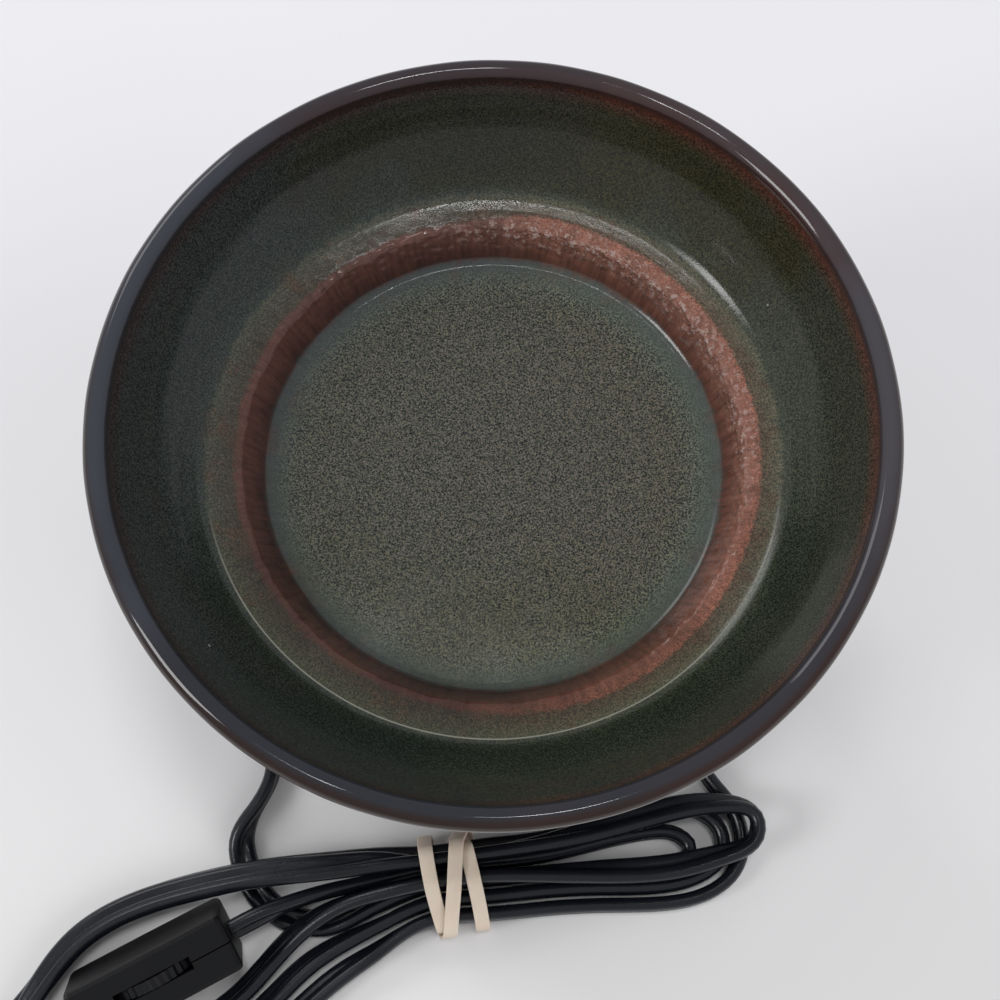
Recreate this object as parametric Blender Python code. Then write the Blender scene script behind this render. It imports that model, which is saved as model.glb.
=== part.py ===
"""Electric wax warmer: a glazed dish lifts off a round ceramic body with a lamp inside, fed by a
flat twin lead with a thumbwheel switch, folded into a banded hank in front of the body."""
from math import acos, atan2, ceil, cos, degrees, pi, radians, sin, tan

import bmesh
import bpy
import numpy as np
from mathutils import Matrix, Vector

# All sizes are millimetres on a table at height 0, with the dish's axis as the Z axis.
# MM turns them into metres where a mesh or an object is made.
MM = 0.001
GAP = 0.3
LOOSE = 0.4

# Dish, heights counted from the table
RIM_TOP = 126.0
RIM_BEAD_R = 2.22
RIM_BEAD_AT = 69.8
FLOOR_DEPTH = 28.3
FLOOR_R = 43.2
STEP_DEPTH = 21.4
STEP_R = FLOOR_R + 3.8
SHELF_DEPTH = 20.2
SHELF_R = STEP_R + 6.9
DISH_WALL = 4.5
DISH_PLUG_R = FLOOR_R + 7.4
DISH_SEAT_R = SHELF_R + 3.7
DISH_SEGMENTS = 56

# Body
BODY_BOTTOM = 2.0
BODY_TOP = RIM_TOP - SHELF_DEPTH - DISH_WALL - GAP
BODY_FOOT_R = 48.0
BODY_TOP_R = DISH_SEAT_R + 0.2
BODY_WALL = 5.0
BODY_BORE_R = DISH_PLUG_R + 0.8
RECESS_R = BODY_FOOT_R - 4.0
RECESS_TOP = BODY_BOTTOM + 3.3
LEDGE_R = RECESS_R - 3.0
LEDGE_TOP = RECESS_TOP + 3.7
BODY_SEGMENTS = 48

# Base plate, its anchors and screws, feet
PLATE_R = RECESS_R - 0.5
PLATE_TOP = RECESS_TOP - GAP
PLATE_THICK = 3.0
PLATE_BOTTOM = PLATE_TOP - PLATE_THICK
ANCHOR_AT = LEDGE_R - 3.5
ANCHOR_ANGLES = (30.0, 150.0, 270.0)
ANCHOR_R = 3.0
ANCHOR_TOP = RECESS_TOP + 8.2
LUG_R = ANCHOR_R + 2.5
LUG_TOP = ANCHOR_TOP + 1.5
SCREW_SHANK_R = 1.45
SCREW_HEAD_R = 3.1
SCREW_SHY = 3.1
SCREW_HEAD_H = 1.2
FOOT_R = 6.0
FOOT_H = PLATE_BOTTOM - GAP
FOOT_AT = LEDGE_R - 8.0
FOOT_ANGLES = (45.0, 135.0, 225.0, 315.0)
VENT_R = 2.5
VENT_AT = 21.0
VENT_COUNT = 6

# Lamp holder
CAP_R = 5.95
SHELL_T = 0.35
SHELL_H = 20.5
SHELL_R = CAP_R + 0.3 + SHELL_T
BRACKET_W = 14.0
BRACKET_T = 1.2
BRACKET_REACH = 21.0
BRACKET_LEG = 11.6
BRACKET_BOTTOM = PLATE_TOP + GAP
BRACKET_H = 7.7
PLATFORM_TOP = BRACKET_BOTTOM + BRACKET_H
BRACKET_SCREW_AT = (BRACKET_LEG + BRACKET_REACH) / 2 + 0.2
BRACKET_HEAD_R = 2.8
BRACKET_HEAD_H = 1.5
SOCKET_R = 9.6
SOCKET_BORE = SHELL_R + GAP
SOCKET_BOTTOM = PLATFORM_TOP + GAP
SOCKET_FLOOR = SOCKET_BOTTOM + 3.0
SOCKET_DEPTH = 24.0
SOCKET_TOP = SOCKET_FLOOR + SOCKET_DEPTH
RIVET_AT = 3.8
RIVET_R = 1.2
RIVET_HEAD_R = 2.1
TERMINAL_AT = 4.5
TERMINAL_Z = SOCKET_BOTTOM + 7.7
TERMINAL_Y = SOCKET_R + GAP
TERMINAL_R = 2.2
TERMINAL_HEAD = 1.2
CONTACT_T = 0.4
CONTACT_RISE = 2.2

# Lamp
TIP_H = 0.9
CAP_BOTTOM = SOCKET_FLOOR + 6.7
CAP_H = 15.0
CAP_TOP = CAP_BOTTOM + CAP_H
CAP_T = 1.05
THREAD_DEPTH = 0.35
THREAD_STEP = 1.2
NECK_R = CAP_R - CAP_T
NECK_BOTTOM = CAP_BOTTOM + 2.0
NECK_TOP = CAP_TOP + 2.0
GLOBE_R = 16.0
GLOBE_Z = CAP_TOP + 1.25 * GLOBE_R
GLASS_T = 0.8
STEM_R = 3.4
STEM_TOP = NECK_TOP + 4.0
FILAMENT_R = 0.35

# Lead and its exit at the back of the body
LEAD_Z = 11.5
LEAD_WIDE = 6.4
LEAD_THICK = 3.2
EXIT_R = 5.0
SEAT_Y = BODY_FOOT_R + 1.0
SLEEVE_START_Y = SEAT_Y - 9.0
SLEEVE_END_Y = SEAT_Y + 22.9
SLEEVE_R = EXIT_R - GAP
FLANGE_R = EXIT_R + 1.5
FLANGE_T = 1.9
WIRE_R = 1.1

# Thumbwheel switch on the lead
SWITCH_AT = (-73.7, -89.9, 12.15)
SWITCH_YAW = 28.5
SWITCH_LEAN = 19.0
SWITCH_L = 37.0
SWITCH_W = 20.0
SWITCH_CREST = 0.5
SWITCH_T = 13.4
POCKET_X = SWITCH_L / 2 - 7.3
POCKET_Z = SWITCH_W / 2 - 1.1
POCKET_DEPTH = SWITCH_T / 2 - 1.3
WHEEL_T = 2.4
WHEEL_Z = 1.7
WHEEL_R = SWITCH_W / 2 + SWITCH_CREST + 0.8 - WHEEL_Z
WHEEL_TEETH = 32
TOOTH_DEPTH = 0.45
PIN_R = 1.25
WHEEL_BORE = PIN_R + GAP
SLOT_X = WHEEL_R - 0.6
CASE_BOLT_AT = SWITCH_L / 2 - 3.7
CASE_BOLT_R = 1.1
CASE_BOLT_HEAD_R = 2.6
CASE_BOLT_HEAD_H = 1.3
CASE_BOLT_SINK = 0.3
CASE_BOLT_BITE = 4.4

# Plug, lying flat behind the body's right side
PLUG_AT = (62.5, 32.0, 6.8)
PLUG_L = 30.0
PLUG_W = 22.0
PLUG_H = 13.0
BLADE_T = 1.5
BLADE_L = 17.5
BLADE_APART = 12.7
BLADE_HOLE_R = 1.6
NARROW_BLADE = 6.35
WIDE_BLADE = 7.9

# Hank: the band's middle, the bundle's direction there, the step from one strand to the next and
# the heights of its two layers
WAIST_AT = (-8.0, -69.5)
WAIST_ANGLE = 8.0
WAIST_HALF = 6.9
STRAND_STEP = 3.85
LOW_Z = 6.1
HIGH_Z = 13.2

# Rubber band round the hank's waist
BAND_W = 3.2
BAND_T = 0.8
BAND_TURNS = 3
BAND_SPREAD = 5.5
BAND_WEAVE = 0.75
BAND_OFF = 1.55


def clear_scene():
    for thing in list(bpy.data.objects):
        bpy.data.objects.remove(thing, do_unlink=True)


def look(name, colour, roughness, metallic=0.0, alpha=1.0):
    """Principled material with an sRGB colour given as three whole numbers."""
    made = bpy.data.materials.new(name)
    made.use_nodes = True
    shader = made.node_tree.nodes["Principled BSDF"]
    linear = [((v / 255 + 0.055) / 1.055) ** 2.4 for v in colour]
    shader.inputs["Base Color"].default_value = (*linear, 1.0)
    shader.inputs["Roughness"].default_value = roughness
    shader.inputs["Metallic"].default_value = metallic
    shader.inputs["Alpha"].default_value = alpha
    made.diffuse_color = (*linear, alpha)
    return made


def place(name, data, material, at=(0, 0, 0), turn=(0, 0, 0), parent=None):
    """Object of the given mesh or curve at a place in millimetres, turned by degrees."""
    if material:
        data.materials.append(material)
    made = bpy.data.objects.new(name, data)
    bpy.context.collection.objects.link(made)
    made.location = [v * MM for v in at]
    made.rotation_euler = [radians(v) for v in turn]
    made.parent = parent
    return made


def mesh_of(bm, name, crease=35.0):
    """Mesh of a finished bmesh, smooth except across edges sharper than the crease angle."""
    bmesh.ops.remove_doubles(bm, verts=bm.verts, dist=1e-7)
    bmesh.ops.recalc_face_normals(bm, faces=bm.faces)
    mesh = bpy.data.meshes.new(name)
    bm.to_mesh(mesh)
    bm.free()
    mesh.polygons.foreach_set("use_smooth", [True] * len(mesh.polygons))
    mesh.set_sharp_from_angle(angle=radians(crease))
    return mesh


def rounded(corners, closed=True, step=30.0):
    """Outline through corners (x, y, radius), with an arc of that radius at each rounded one."""
    points = []
    for i, (x, y, radius) in enumerate(corners):
        here = Vector((x, y))
        if radius == 0 or not (closed or 0 < i < len(corners) - 1):
            points.append(tuple(here))
            continue
        back = (Vector(corners[i - 1][:2]) - here).normalized()
        ahead = (Vector(corners[(i + 1) % len(corners)][:2]) - here).normalized()
        half = acos(max(-1.0, min(1.0, back.dot(ahead)))) / 2
        centre = here + (back + ahead).normalized() * radius / sin(half)
        start = here + back * radius / tan(half) - centre
        end = here + ahead * radius / tan(half) - centre
        first = atan2(start.y, start.x)
        sweep = (atan2(end.y, end.x) - first + pi) % (2 * pi) - pi
        count = max(1, ceil(abs(degrees(sweep)) / step))
        for k in range(count + 1):
            angle = first + sweep * k / count
            points.append((centre.x + radius * cos(angle), centre.y + radius * sin(angle)))
    return points


def arc(x, y, radius, first, last, count):
    """Points of an arc between two angles in degrees."""
    angles = [radians(first + (last - first) * k / count) for k in range(count + 1)]
    return [(x + radius * cos(a), y + radius * sin(a)) for a in angles]


def add_turned(bm, outline, segments, at=(0, 0, 0), turn=None):
    """Adds to a bmesh the solid that an outline of (radius, height) sweeps round the Z axis."""
    verts = [bm.verts.new((r * MM, 0, z * MM)) for r, z in outline]
    pairs = zip(verts, verts[1:])
    edges = [bm.edges.new(pair) for pair in pairs if pair[0].co.x + pair[1].co.x > 0]
    if outline[0][0] > 0:
        edges.append(bm.edges.new((verts[-1], verts[0])))
    known = set(bm.verts) - set(verts)
    bmesh.ops.spin(bm, geom=verts + edges, cent=(0, 0, 0), axis=(0, 0, 1), angle=2 * pi,
                   steps=segments, use_merge=True, use_duplicate=False)
    fresh = [v for v in bm.verts if v not in known]
    if turn:
        bmesh.ops.transform(bm, matrix=turn, verts=fresh)
    bmesh.ops.translate(bm, vec=[v * MM for v in at], verts=fresh)


def turned(name, outline, segments, material, at=(0, 0, 0), turn=(0, 0, 0), parent=None):
    bm = bmesh.new()
    add_turned(bm, outline, segments)
    return place(name, mesh_of(bm, name), material, at, turn, parent)


def add_prism(bm, outline, low, high):
    """Adds to a bmesh the solid between two heights over an outline of (x, y)."""
    verts = [bm.verts.new((x * MM, y * MM, low * MM)) for x, y in outline]
    face = bm.faces.new(verts)
    top = bmesh.ops.extrude_face_region(bm, geom=[face])["geom"]
    moved = [v for v in top if isinstance(v, bmesh.types.BMVert)]
    bmesh.ops.translate(bm, vec=(0, 0, (high - low) * MM), verts=moved)


def prism(name, outline, low, high, material, at=(0, 0, 0), turn=(0, 0, 0), parent=None):
    bm = bmesh.new()
    add_prism(bm, outline, low, high)
    return place(name, mesh_of(bm, name), material, at, turn, parent)


def rod(radius, low, high):
    return [(0, low), (radius, low), (radius, high), (0, high)]


def tube(radius, bore, low, high):
    return [(bore, low), (radius, low), (radius, high), (bore, high)]


def round_spots(radius_at, angles):
    """Places on a circle about the Z axis."""
    return [(radius_at * cos(radians(a)), radius_at * sin(radians(a))) for a in angles]


def combine(target, bm, operation="DIFFERENCE"):
    """Cuts a bmesh's shapes out of an object, or joins them on, by a Boolean modifier."""
    cutter = place(target.name + "_" + operation.lower(), mesh_of(bm, "cutter"), None)
    cutter.parent = target.parent
    cutter.hide_render = True
    cutter.display_type = "WIRE"
    change = target.modifiers.new(operation.title(), "BOOLEAN")
    change.operation = operation
    change.object = cutter


def crosswise(axis):
    """Matrix that lays a shape made along Z along X or Y instead."""
    if axis == "X":
        return Matrix.Rotation(radians(90), 4, "Y")
    return Matrix.Rotation(radians(-90), 4, "X")


clear_scene()
glaze = look("dish_glaze", (72, 74, 68), 0.25)
stoneware = look("body_glaze", (50, 46, 43), 0.3)
plate_black = look("plate_black", (28, 28, 29), 0.55)
nylon = look("anchor_nylon", (205, 200, 188), 0.5)
steel = look("zinc_steel", (172, 174, 178), 0.35, 1.0)
foot_rubber = look("foot_rubber", (30, 30, 30), 0.85)
holder_black = look("holder_phenolic", (35, 31, 29), 0.4)
brass = look("brass", (190, 155, 85), 0.3, 1.0)
wire_vinyl = look("wire_insulation", (45, 45, 47), 0.5)
lamp_metal = look("lamp_cap_metal", (190, 190, 188), 0.3, 1.0)
lamp_glass = look("lamp_glass", (235, 238, 240), 0.05, 0.0, 0.35)
lamp_stem = look("lamp_stem", (215, 220, 222), 0.15)
lamp_insulator = look("lamp_insulator", (25, 25, 28), 0.2)
lead_black = look("lead_vinyl", (38, 39, 42), 0.4)
switch_black = look("switch_plastic", (42, 43, 46), 0.45)
wheel_black = look("wheel_plastic", (30, 31, 33), 0.4)
band_rubber = look("band_rubber", (200, 185, 165), 0.6)
plug_vinyl = look("plug_vinyl", (36, 37, 39), 0.45)

# Dish: one thick glazed casting, turned from its section. The floor steps up to a sloping shelf,
# the wall rises to a round lip, and a plug below the shoulder sits in the body's bore.
floor_z = RIM_TOP - FLOOR_DEPTH
shelf_z = RIM_TOP - SHELF_DEPTH
lip_z = RIM_TOP - RIM_BEAD_R
shoulder_z = shelf_z - DISH_WALL
dish_bottom = floor_z - DISH_WALL
inside = rounded([(0, floor_z, 0), (FLOOR_R, floor_z, 2.2), (STEP_R, RIM_TOP - STEP_DEPTH, 1.6),
                  (SHELF_R, shelf_z, 6.0), (SHELF_R + 8.1, RIM_TOP - 12.0, 28.0),
                  (RIM_BEAD_AT - RIM_BEAD_R, lip_z, 0)], closed=False)
bead = arc(RIM_BEAD_AT, lip_z, RIM_BEAD_R, 150, -40, 6)
outside = rounded([(RIM_BEAD_AT + 0.9, RIM_TOP - 5.2, 0), (DISH_SEAT_R + 8.0, RIM_TOP - 14.7, 20.0),
                   (DISH_SEAT_R, shoulder_z, 2.0), (DISH_PLUG_R, shoulder_z, 0.8),
                   (FLOOR_R + 5.7, dish_bottom, 1.5), (0, dish_bottom, 0)], closed=False, step=50)
turned("wax_dish", inside + bead + outside, DISH_SEGMENTS, glaze)

# Body: a hollow stoneware pot whose side swells towards the top, open above for the dish and below
# for the base plate. Three lugs inside take the base's anchors, and a hole at the back the lead.
def body_radius(z):
    share = (z - BODY_BOTTOM) / (BODY_TOP - BODY_BOTTOM)
    return BODY_FOOT_R + (BODY_TOP_R - BODY_FOOT_R) * sin(pi / 2 * share)


outer_z = [BODY_BOTTOM + (BODY_TOP - BODY_BOTTOM) * k / 6 for k in range(1, 6)]
outer = [(BODY_FOOT_R, BODY_BOTTOM, 1.0), *[(body_radius(z), z, 0) for z in outer_z],
         (BODY_TOP_R, BODY_TOP, 1.5)]
bore = [(BODY_BORE_R, BODY_TOP, 0.8)]
inner_z = [LUG_TOP + 1 + (BODY_TOP - LUG_TOP) * share for share in (0.64, 0.4, 0.17, 0)]
bore += [(min(BODY_BORE_R, body_radius(z) - BODY_WALL), z, 0) for z in inner_z]
ledge = [(LEDGE_R, LEDGE_TOP, 0), (LEDGE_R, RECESS_TOP, 0), (RECESS_R, RECESS_TOP, 0),
         (RECESS_R, BODY_BOTTOM, 0)]
body = turned("body_shell", rounded(outer + bore + ledge, step=50), BODY_SEGMENTS, stoneware)
lugs = bmesh.new()
sockets = bmesh.new()
for x, y in round_spots(ANCHOR_AT, ANCHOR_ANGLES):
    add_turned(lugs, rod(LUG_R, RECESS_TOP, LUG_TOP), 16, (x, y, 0))
    add_turned(sockets, rod(ANCHOR_R + GAP, RECESS_TOP - 1, ANCHOR_TOP + GAP), 12, (x, y, 0))
combine(body, lugs, "UNION")
spot_face_r = FLANGE_R + 0.7
exit_cut = [(0, SLEEVE_START_Y), (EXIT_R, SLEEVE_START_Y), (EXIT_R, SEAT_Y), (spot_face_r, SEAT_Y),
            (spot_face_r, SLEEVE_END_Y), (0, SLEEVE_END_Y)]
add_turned(sockets, exit_cut, 20, (0, 0, LEAD_Z), crosswise("Y"))
combine(body, sockets)

# Base: a moulded plate held up into the body's recess by three screws that spread nylon anchors,
# with vent holes and four rubber feet.
plate = turned("base_plate", rod(PLATE_R, PLATE_BOTTOM, PLATE_TOP), 48, plate_black)
holes = bmesh.new()
counterbore = PLATE_BOTTOM + SCREW_HEAD_H + LOOSE
head_seat = [(0, PLATE_BOTTOM - 1), (SCREW_HEAD_R + GAP, PLATE_BOTTOM - 1),
             (SCREW_HEAD_R + GAP, counterbore), (SCREW_SHANK_R + GAP, counterbore),
             (SCREW_SHANK_R + GAP, PLATE_TOP + 1), (0, PLATE_TOP + 1)]
for x, y in round_spots(ANCHOR_AT, ANCHOR_ANGLES):
    add_turned(holes, head_seat, 12, (x, y, 0))
for x, y in round_spots(VENT_AT, [k * 360 / VENT_COUNT + 30 for k in range(VENT_COUNT)]):
    add_turned(holes, rod(VENT_R, PLATE_BOTTOM - 1, PLATE_TOP + 1), 12, (x, y, 0))
for side in (-1, 1):
    blind = rod(SCREW_SHANK_R + GAP, PLATE_TOP - 2.4, PLATE_TOP + 1)
    add_turned(holes, blind, 12, (side * BRACKET_SCREW_AT, 0, 0))
combine(plate, holes)


def screw(name, head_r, head_h, shank_r, length, at, turn=(0, 0, 0), parent=None):
    """Pan head screw with a slot, head down at height 0 and shank up."""
    outline = rounded([(0, 0, 0), (head_r, 0, 0.4), (head_r, head_h, 0), (shank_r, head_h, 0),
                       (shank_r, length - shank_r, 0), (0, length, 0)], closed=False, step=45)
    made = turned(name, outline, 12, steel, at, turn, parent)
    slot = bmesh.new()
    bmesh.ops.create_cube(slot, size=1)
    bmesh.ops.scale(slot, vec=(head_r * 3 * MM, 0.7 * MM, 1.0 * MM), verts=slot.verts)
    cutter = place(name + "_slot", mesh_of(slot, "slot"), None, at, turn, parent)
    cutter.hide_render = True
    cutter.display_type = "WIRE"
    change = made.modifiers.new("Slot", "BOOLEAN")
    change.object = cutter
    return made


for number, (x, y) in enumerate(round_spots(ANCHOR_AT, ANCHOR_ANGLES), 1):
    anchor = tube(ANCHOR_R, SCREW_SHANK_R + GAP, RECESS_TOP + GAP, ANCHOR_TOP)
    turned(f"anchor_{number}", anchor, 12, nylon, (x, y, 0))
    screw(f"base_screw_{number}", SCREW_HEAD_R, SCREW_HEAD_H, SCREW_SHANK_R, ANCHOR_TOP - SCREW_SHY,
          (x, y, PLATE_BOTTOM + 0.1))
foot = rounded([(0, 0, 0), (FOOT_R, 0, 0.5), (FOOT_R - 0.4, FOOT_H, 0), (0, FOOT_H, 0)],
               closed=False, step=45)
for number, (x, y) in enumerate(round_spots(FOOT_AT, FOOT_ANGLES), 1):
    turned(f"foot_{number}", foot, 16, foot_rubber, (x, y, 0))

# Lamp holder: a steel saddle screwed to the plate carries a moulded socket, riveted through its
# floor, with a brass screw shell, a centre contact and a terminal screw for each wire.
half_w = BRACKET_W / 2
low = BRACKET_BOTTOM
leg_in = BRACKET_LEG - BRACKET_T
under = PLATFORM_TOP - BRACKET_T
left_side = [(-BRACKET_REACH, low, 0), (-leg_in, low, 1.0), (-leg_in, under, 1.0)]
hat_under = left_side + [(-x, z, r) for x, z, r in reversed(left_side)]
left_top = [(-BRACKET_LEG, PLATFORM_TOP, 1.6), (-BRACKET_LEG, low + BRACKET_T, 1.0),
            (-BRACKET_REACH, low + BRACKET_T, 0)]
hat_top = [(-x, z, r) for x, z, r in reversed(left_top)] + left_top
bracket = prism("socket_bracket", rounded(hat_under + hat_top, step=45), -half_w, half_w, steel,
                turn=(90, 0, 0))
bracket_holes = bmesh.new()
for side in (-1, 1):
    flange_hole = rod(SCREW_SHANK_R + GAP, low - 1, low + BRACKET_T + 1)
    add_turned(bracket_holes, flange_hole, 12, (side * BRACKET_SCREW_AT, 0, 0))
add_turned(bracket_holes, rod(RIVET_R + GAP, under - 1, PLATFORM_TOP + 1), 12, (RIVET_AT, 0, 0))
combine(bracket, bracket_holes)
for number, side in enumerate((-1, 1), 1):
    head_top = low + BRACKET_T + GAP + BRACKET_HEAD_H
    screw(f"bracket_screw_{number}", BRACKET_HEAD_R, BRACKET_HEAD_H, SCREW_SHANK_R,
          head_top - (PLATE_TOP - 2.0),
          (side * BRACKET_SCREW_AT, 0, head_top), (180, 0, 0))

socket = turned("lamp_socket", rounded([(0, SOCKET_BOTTOM, 0), (SOCKET_R, SOCKET_BOTTOM, 0.8),
                                        (SOCKET_R, SOCKET_TOP, 0.8), (SOCKET_BORE, SOCKET_TOP, 0.6),
                                        (SOCKET_BORE, SOCKET_FLOOR, 0), (0, SOCKET_FLOOR, 0)],
                                       closed=False, step=90), 24, holder_black)
socket_holes = bmesh.new()
add_turned(socket_holes, rod(RIVET_R + GAP, SOCKET_BOTTOM - 1, SOCKET_FLOOR + 1), 12,
           (RIVET_AT, 0, 0))
for side in (-1, 1):
    add_turned(socket_holes, rod(RIVET_R + GAP, SOCKET_BORE + GAP, SOCKET_R + 1), 12,
               (side * TERMINAL_AT, 0, TERMINAL_Z), crosswise("Y"))
combine(socket, socket_holes)
shell_low = SOCKET_FLOOR + 1.7
turned("socket_shell", tube(SHELL_R, SHELL_R - SHELL_T, shell_low, shell_low + SHELL_H), 24, brass)
rivet_low = under - GAP
rivet_high = SOCKET_FLOOR + GAP
crown_r = RIVET_HEAD_R - 0.4
rivet = [(0, rivet_low - 0.5), (crown_r, rivet_low - 0.5), (RIVET_HEAD_R, rivet_low),
         (RIVET_R, rivet_low), (RIVET_R, rivet_high), (RIVET_HEAD_R, rivet_high),
         (crown_r, rivet_high + 0.7), (0, rivet_high + 0.7)]
turned("socket_rivet", rivet, 12, brass, (RIVET_AT, 0, 0))
contact_low = SOCKET_FLOOR + GAP
contact_flat = contact_low + CONTACT_T
contact = rounded([(-6.0, contact_low, 0), (0.8, contact_low, 0), (0.8, contact_flat, 0),
                   (-0.9, contact_low + CONTACT_RISE, 0.5), (-2.6, contact_flat, 0),
                   (-6.0, contact_flat, 0)], step=45)
prism("socket_contact", contact, -1.5, 1.5, brass, turn=(90, 0, 0))
for number, side in enumerate((-1, 1), 1):
    head_y = TERMINAL_Y + TERMINAL_HEAD
    screw(f"terminal_screw_{number}", TERMINAL_R, TERMINAL_HEAD, RIVET_R,
          head_y - SOCKET_BORE - 2 * GAP, (side * TERMINAL_AT, head_y, TERMINAL_Z), (90, 0, 0))

# Lamp: a small globe lamp with a screw cap. Its glass is one thin shell, open at the neck inside
# the cap, round a stem that holds the filament.
tip_low = contact_low + CONTACT_RISE + GAP
turned("bulb_tip", [(0, tip_low), (1.2, tip_low), (1.9, tip_low + 0.4), (1.9, tip_low + TIP_H),
                    (0, tip_low + TIP_H)], 16, lamp_metal)
cone_low = tip_low + TIP_H + GAP
turned("bulb_insulator", [(0, cone_low), (2.6, cone_low), (5.2, CAP_BOTTOM - GAP),
                          (0, CAP_BOTTOM - GAP)], 20, lamp_insulator)
thread = [(CAP_R - THREAD_DEPTH * (k % 2), CAP_BOTTOM + THREAD_STEP * (k + 1)) for k in range(10)]
cap = [(NECK_R + 0.1, CAP_BOTTOM), (CAP_R - 0.4, CAP_BOTTOM), *thread, (CAP_R - 0.2, CAP_TOP),
       (NECK_R + GAP, CAP_TOP), (NECK_R + GAP, CAP_BOTTOM + 1.0), (NECK_R + 0.1, CAP_BOTTOM + 0.6)]
turned("bulb_cap", cap, 20, lamp_metal)


def glass_outline(less):
    """Section of the lamp's glass from its open neck to its top, less a thickness."""
    neck = [(NECK_R - less, NECK_BOTTOM), (NECK_R - less, NECK_TOP)]
    dome = arc(0, GLOBE_Z, GLOBE_R - less, -62, 90, 7)
    return neck + dome[:-1] + [(0, GLOBE_Z + GLOBE_R - less)]


turned("bulb_glass", glass_outline(0) + glass_outline(GLASS_T)[::-1], 24, lamp_glass)
stem_low = NECK_BOTTOM + 1.0
stem = [(0, stem_low), (STEM_R, stem_low), (STEM_R, stem_low + 1), (STEM_R - 1.4, stem_low + 5),
        (STEM_R - 1.8, STEM_TOP - 1), (0, STEM_TOP)]
mount = turned("bulb_mount", stem, 12, lamp_stem)


def frames(line):
    """Unit tangents along a line of points, and the directions up from and left of its run."""
    ahead = np.gradient(line[:, :3], axis=0)
    ahead /= np.linalg.norm(ahead, axis=1)[:, None]
    left = np.cross([0, 0, 1.0], ahead)
    left /= np.linalg.norm(left, axis=1)[:, None]
    return ahead, np.cross(ahead, left), left


def add_wire(bm, path, radius, sides):
    """Adds to a bmesh a round wire in the XZ plane along a path of (x, y, z)."""
    line = np.array(path, float)
    ahead = np.gradient(line, axis=0)
    ahead /= np.linalg.norm(ahead, axis=1)[:, None]
    rings = []
    for spot, way in zip(line, ahead):
        across = np.array((0, 1.0, 0))
        over = np.cross(way, across)
        ring = []
        for k in range(sides):
            a = 2 * pi * k / sides
            spot_k = spot + radius * (cos(a) * across + sin(a) * over)
            ring.append(bm.verts.new(spot_k * MM))
        rings.append(ring)
    for one, two in zip(rings, rings[1:]):
        for k in range(sides):
            bm.faces.new((one[k], one[(k + 1) % sides], two[(k + 1) % sides], two[k]))
    bm.faces.new(rings[0][::-1])
    bm.faces.new(rings[-1])


half_wire = [(1.0, -4.0), (1.6, 2.0), (5.5, 12.0), (6.0, 16.0), (3.0, 17.5)]
support = [(-x, 0, STEM_TOP + rise) for x, rise in half_wire] + [(0, 0, STEM_TOP + 16.8)]
support += [(x, 0, STEM_TOP + rise) for x, rise in reversed(half_wire)]
wires = bmesh.new()
add_wire(wires, support, FILAMENT_R, 6)
combine(mount, wires, "UNION")

# Lead exit: a moulded strain relief sits in the body's back hole, its flange on a flat seat, and
# two wires run from it to the terminal screws.
flange_end = SEAT_Y + FLANGE_T
relief = [(0, SLEEVE_START_Y), (SLEEVE_R, SLEEVE_START_Y), (SLEEVE_R, SEAT_Y + GAP),
          (FLANGE_R, SEAT_Y + GAP), (FLANGE_R, flange_end - 0.4), (FLANGE_R - 0.4, flange_end),
          (SLEEVE_R, flange_end), (SLEEVE_R - 0.3, SEAT_Y + 10), (SLEEVE_R - 0.75, SLEEVE_END_Y),
          (0, SLEEVE_END_Y)]
turned("strain_relief", relief, 20, lead_black, (0, 0, LEAD_Z), (-90, 0, 0))


def smooth_line(stations, spacing=1.0):
    """Fine points of the natural cubic spline through stations whose first three columns are a
    place; any further columns follow the same spline."""
    p = np.array(stations, float)
    span = np.linalg.norm(np.diff(p[:, :3], axis=0), axis=1)
    last = len(p) - 1
    rows = np.zeros((len(p), len(p)))
    right = np.zeros(p.shape)
    rows[0, 0] = 1
    rows[last, last] = 1
    for i in range(1, last):
        rows[i, i - 1:i + 2] = span[i - 1], 2 * (span[i - 1] + span[i]), span[i]
        right[i] = 6 * ((p[i + 1] - p[i]) / span[i] - (p[i] - p[i - 1]) / span[i - 1])
    bend = np.linalg.solve(rows, right)
    line = []
    for i, h in enumerate(span):
        for b in np.arange(0, h, spacing):
            a = h - b
            line.append((bend[i] * a ** 3 + bend[i + 1] * b ** 3) / (6 * h)
                        + (p[i] / h - bend[i] * h / 6) * a + (p[i + 1] / h - bend[i + 1] * h / 6) * b)
    line.append(p[-1])
    return np.array(line)


def settled(line):
    """The same line, raised where the lead's lowest edge would be nearer the table than 0.2 mm."""
    line = line.copy()
    edge = LEAD_THICK / 2 + (LEAD_WIDE - LEAD_THICK) / 2 * np.abs(np.cos(np.radians(line[:, 3])))
    line[:, 2] = np.maximum(line[:, 2], edge + 0.2)
    return line


def spaced(line, longest, turn, square=2):
    """Points read from a fine line, closer together where it bends; the first and last stretches
    are short, so that the ends lie square to the line."""
    whole = line
    line = line[square:-square]
    step = np.diff(line[:, :3], axis=0)
    size = np.linalg.norm(step, axis=1)
    way = step / size[:, None]
    bend = np.degrees(np.arccos(np.clip((way[1:] * way[:-1]).sum(1), -1, 1)))
    cost = np.concatenate(([0], np.cumsum(size / longest + np.concatenate((bend, [0])) / turn)))
    wanted = np.linspace(0, cost[-1], ceil(cost[-1]) + 1)
    inner = np.stack([np.interp(wanted, cost, line[:, k]) for k in range(line.shape[1])], axis=1)
    return np.vstack((whole[:1], inner, whole[-1:]))


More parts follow.
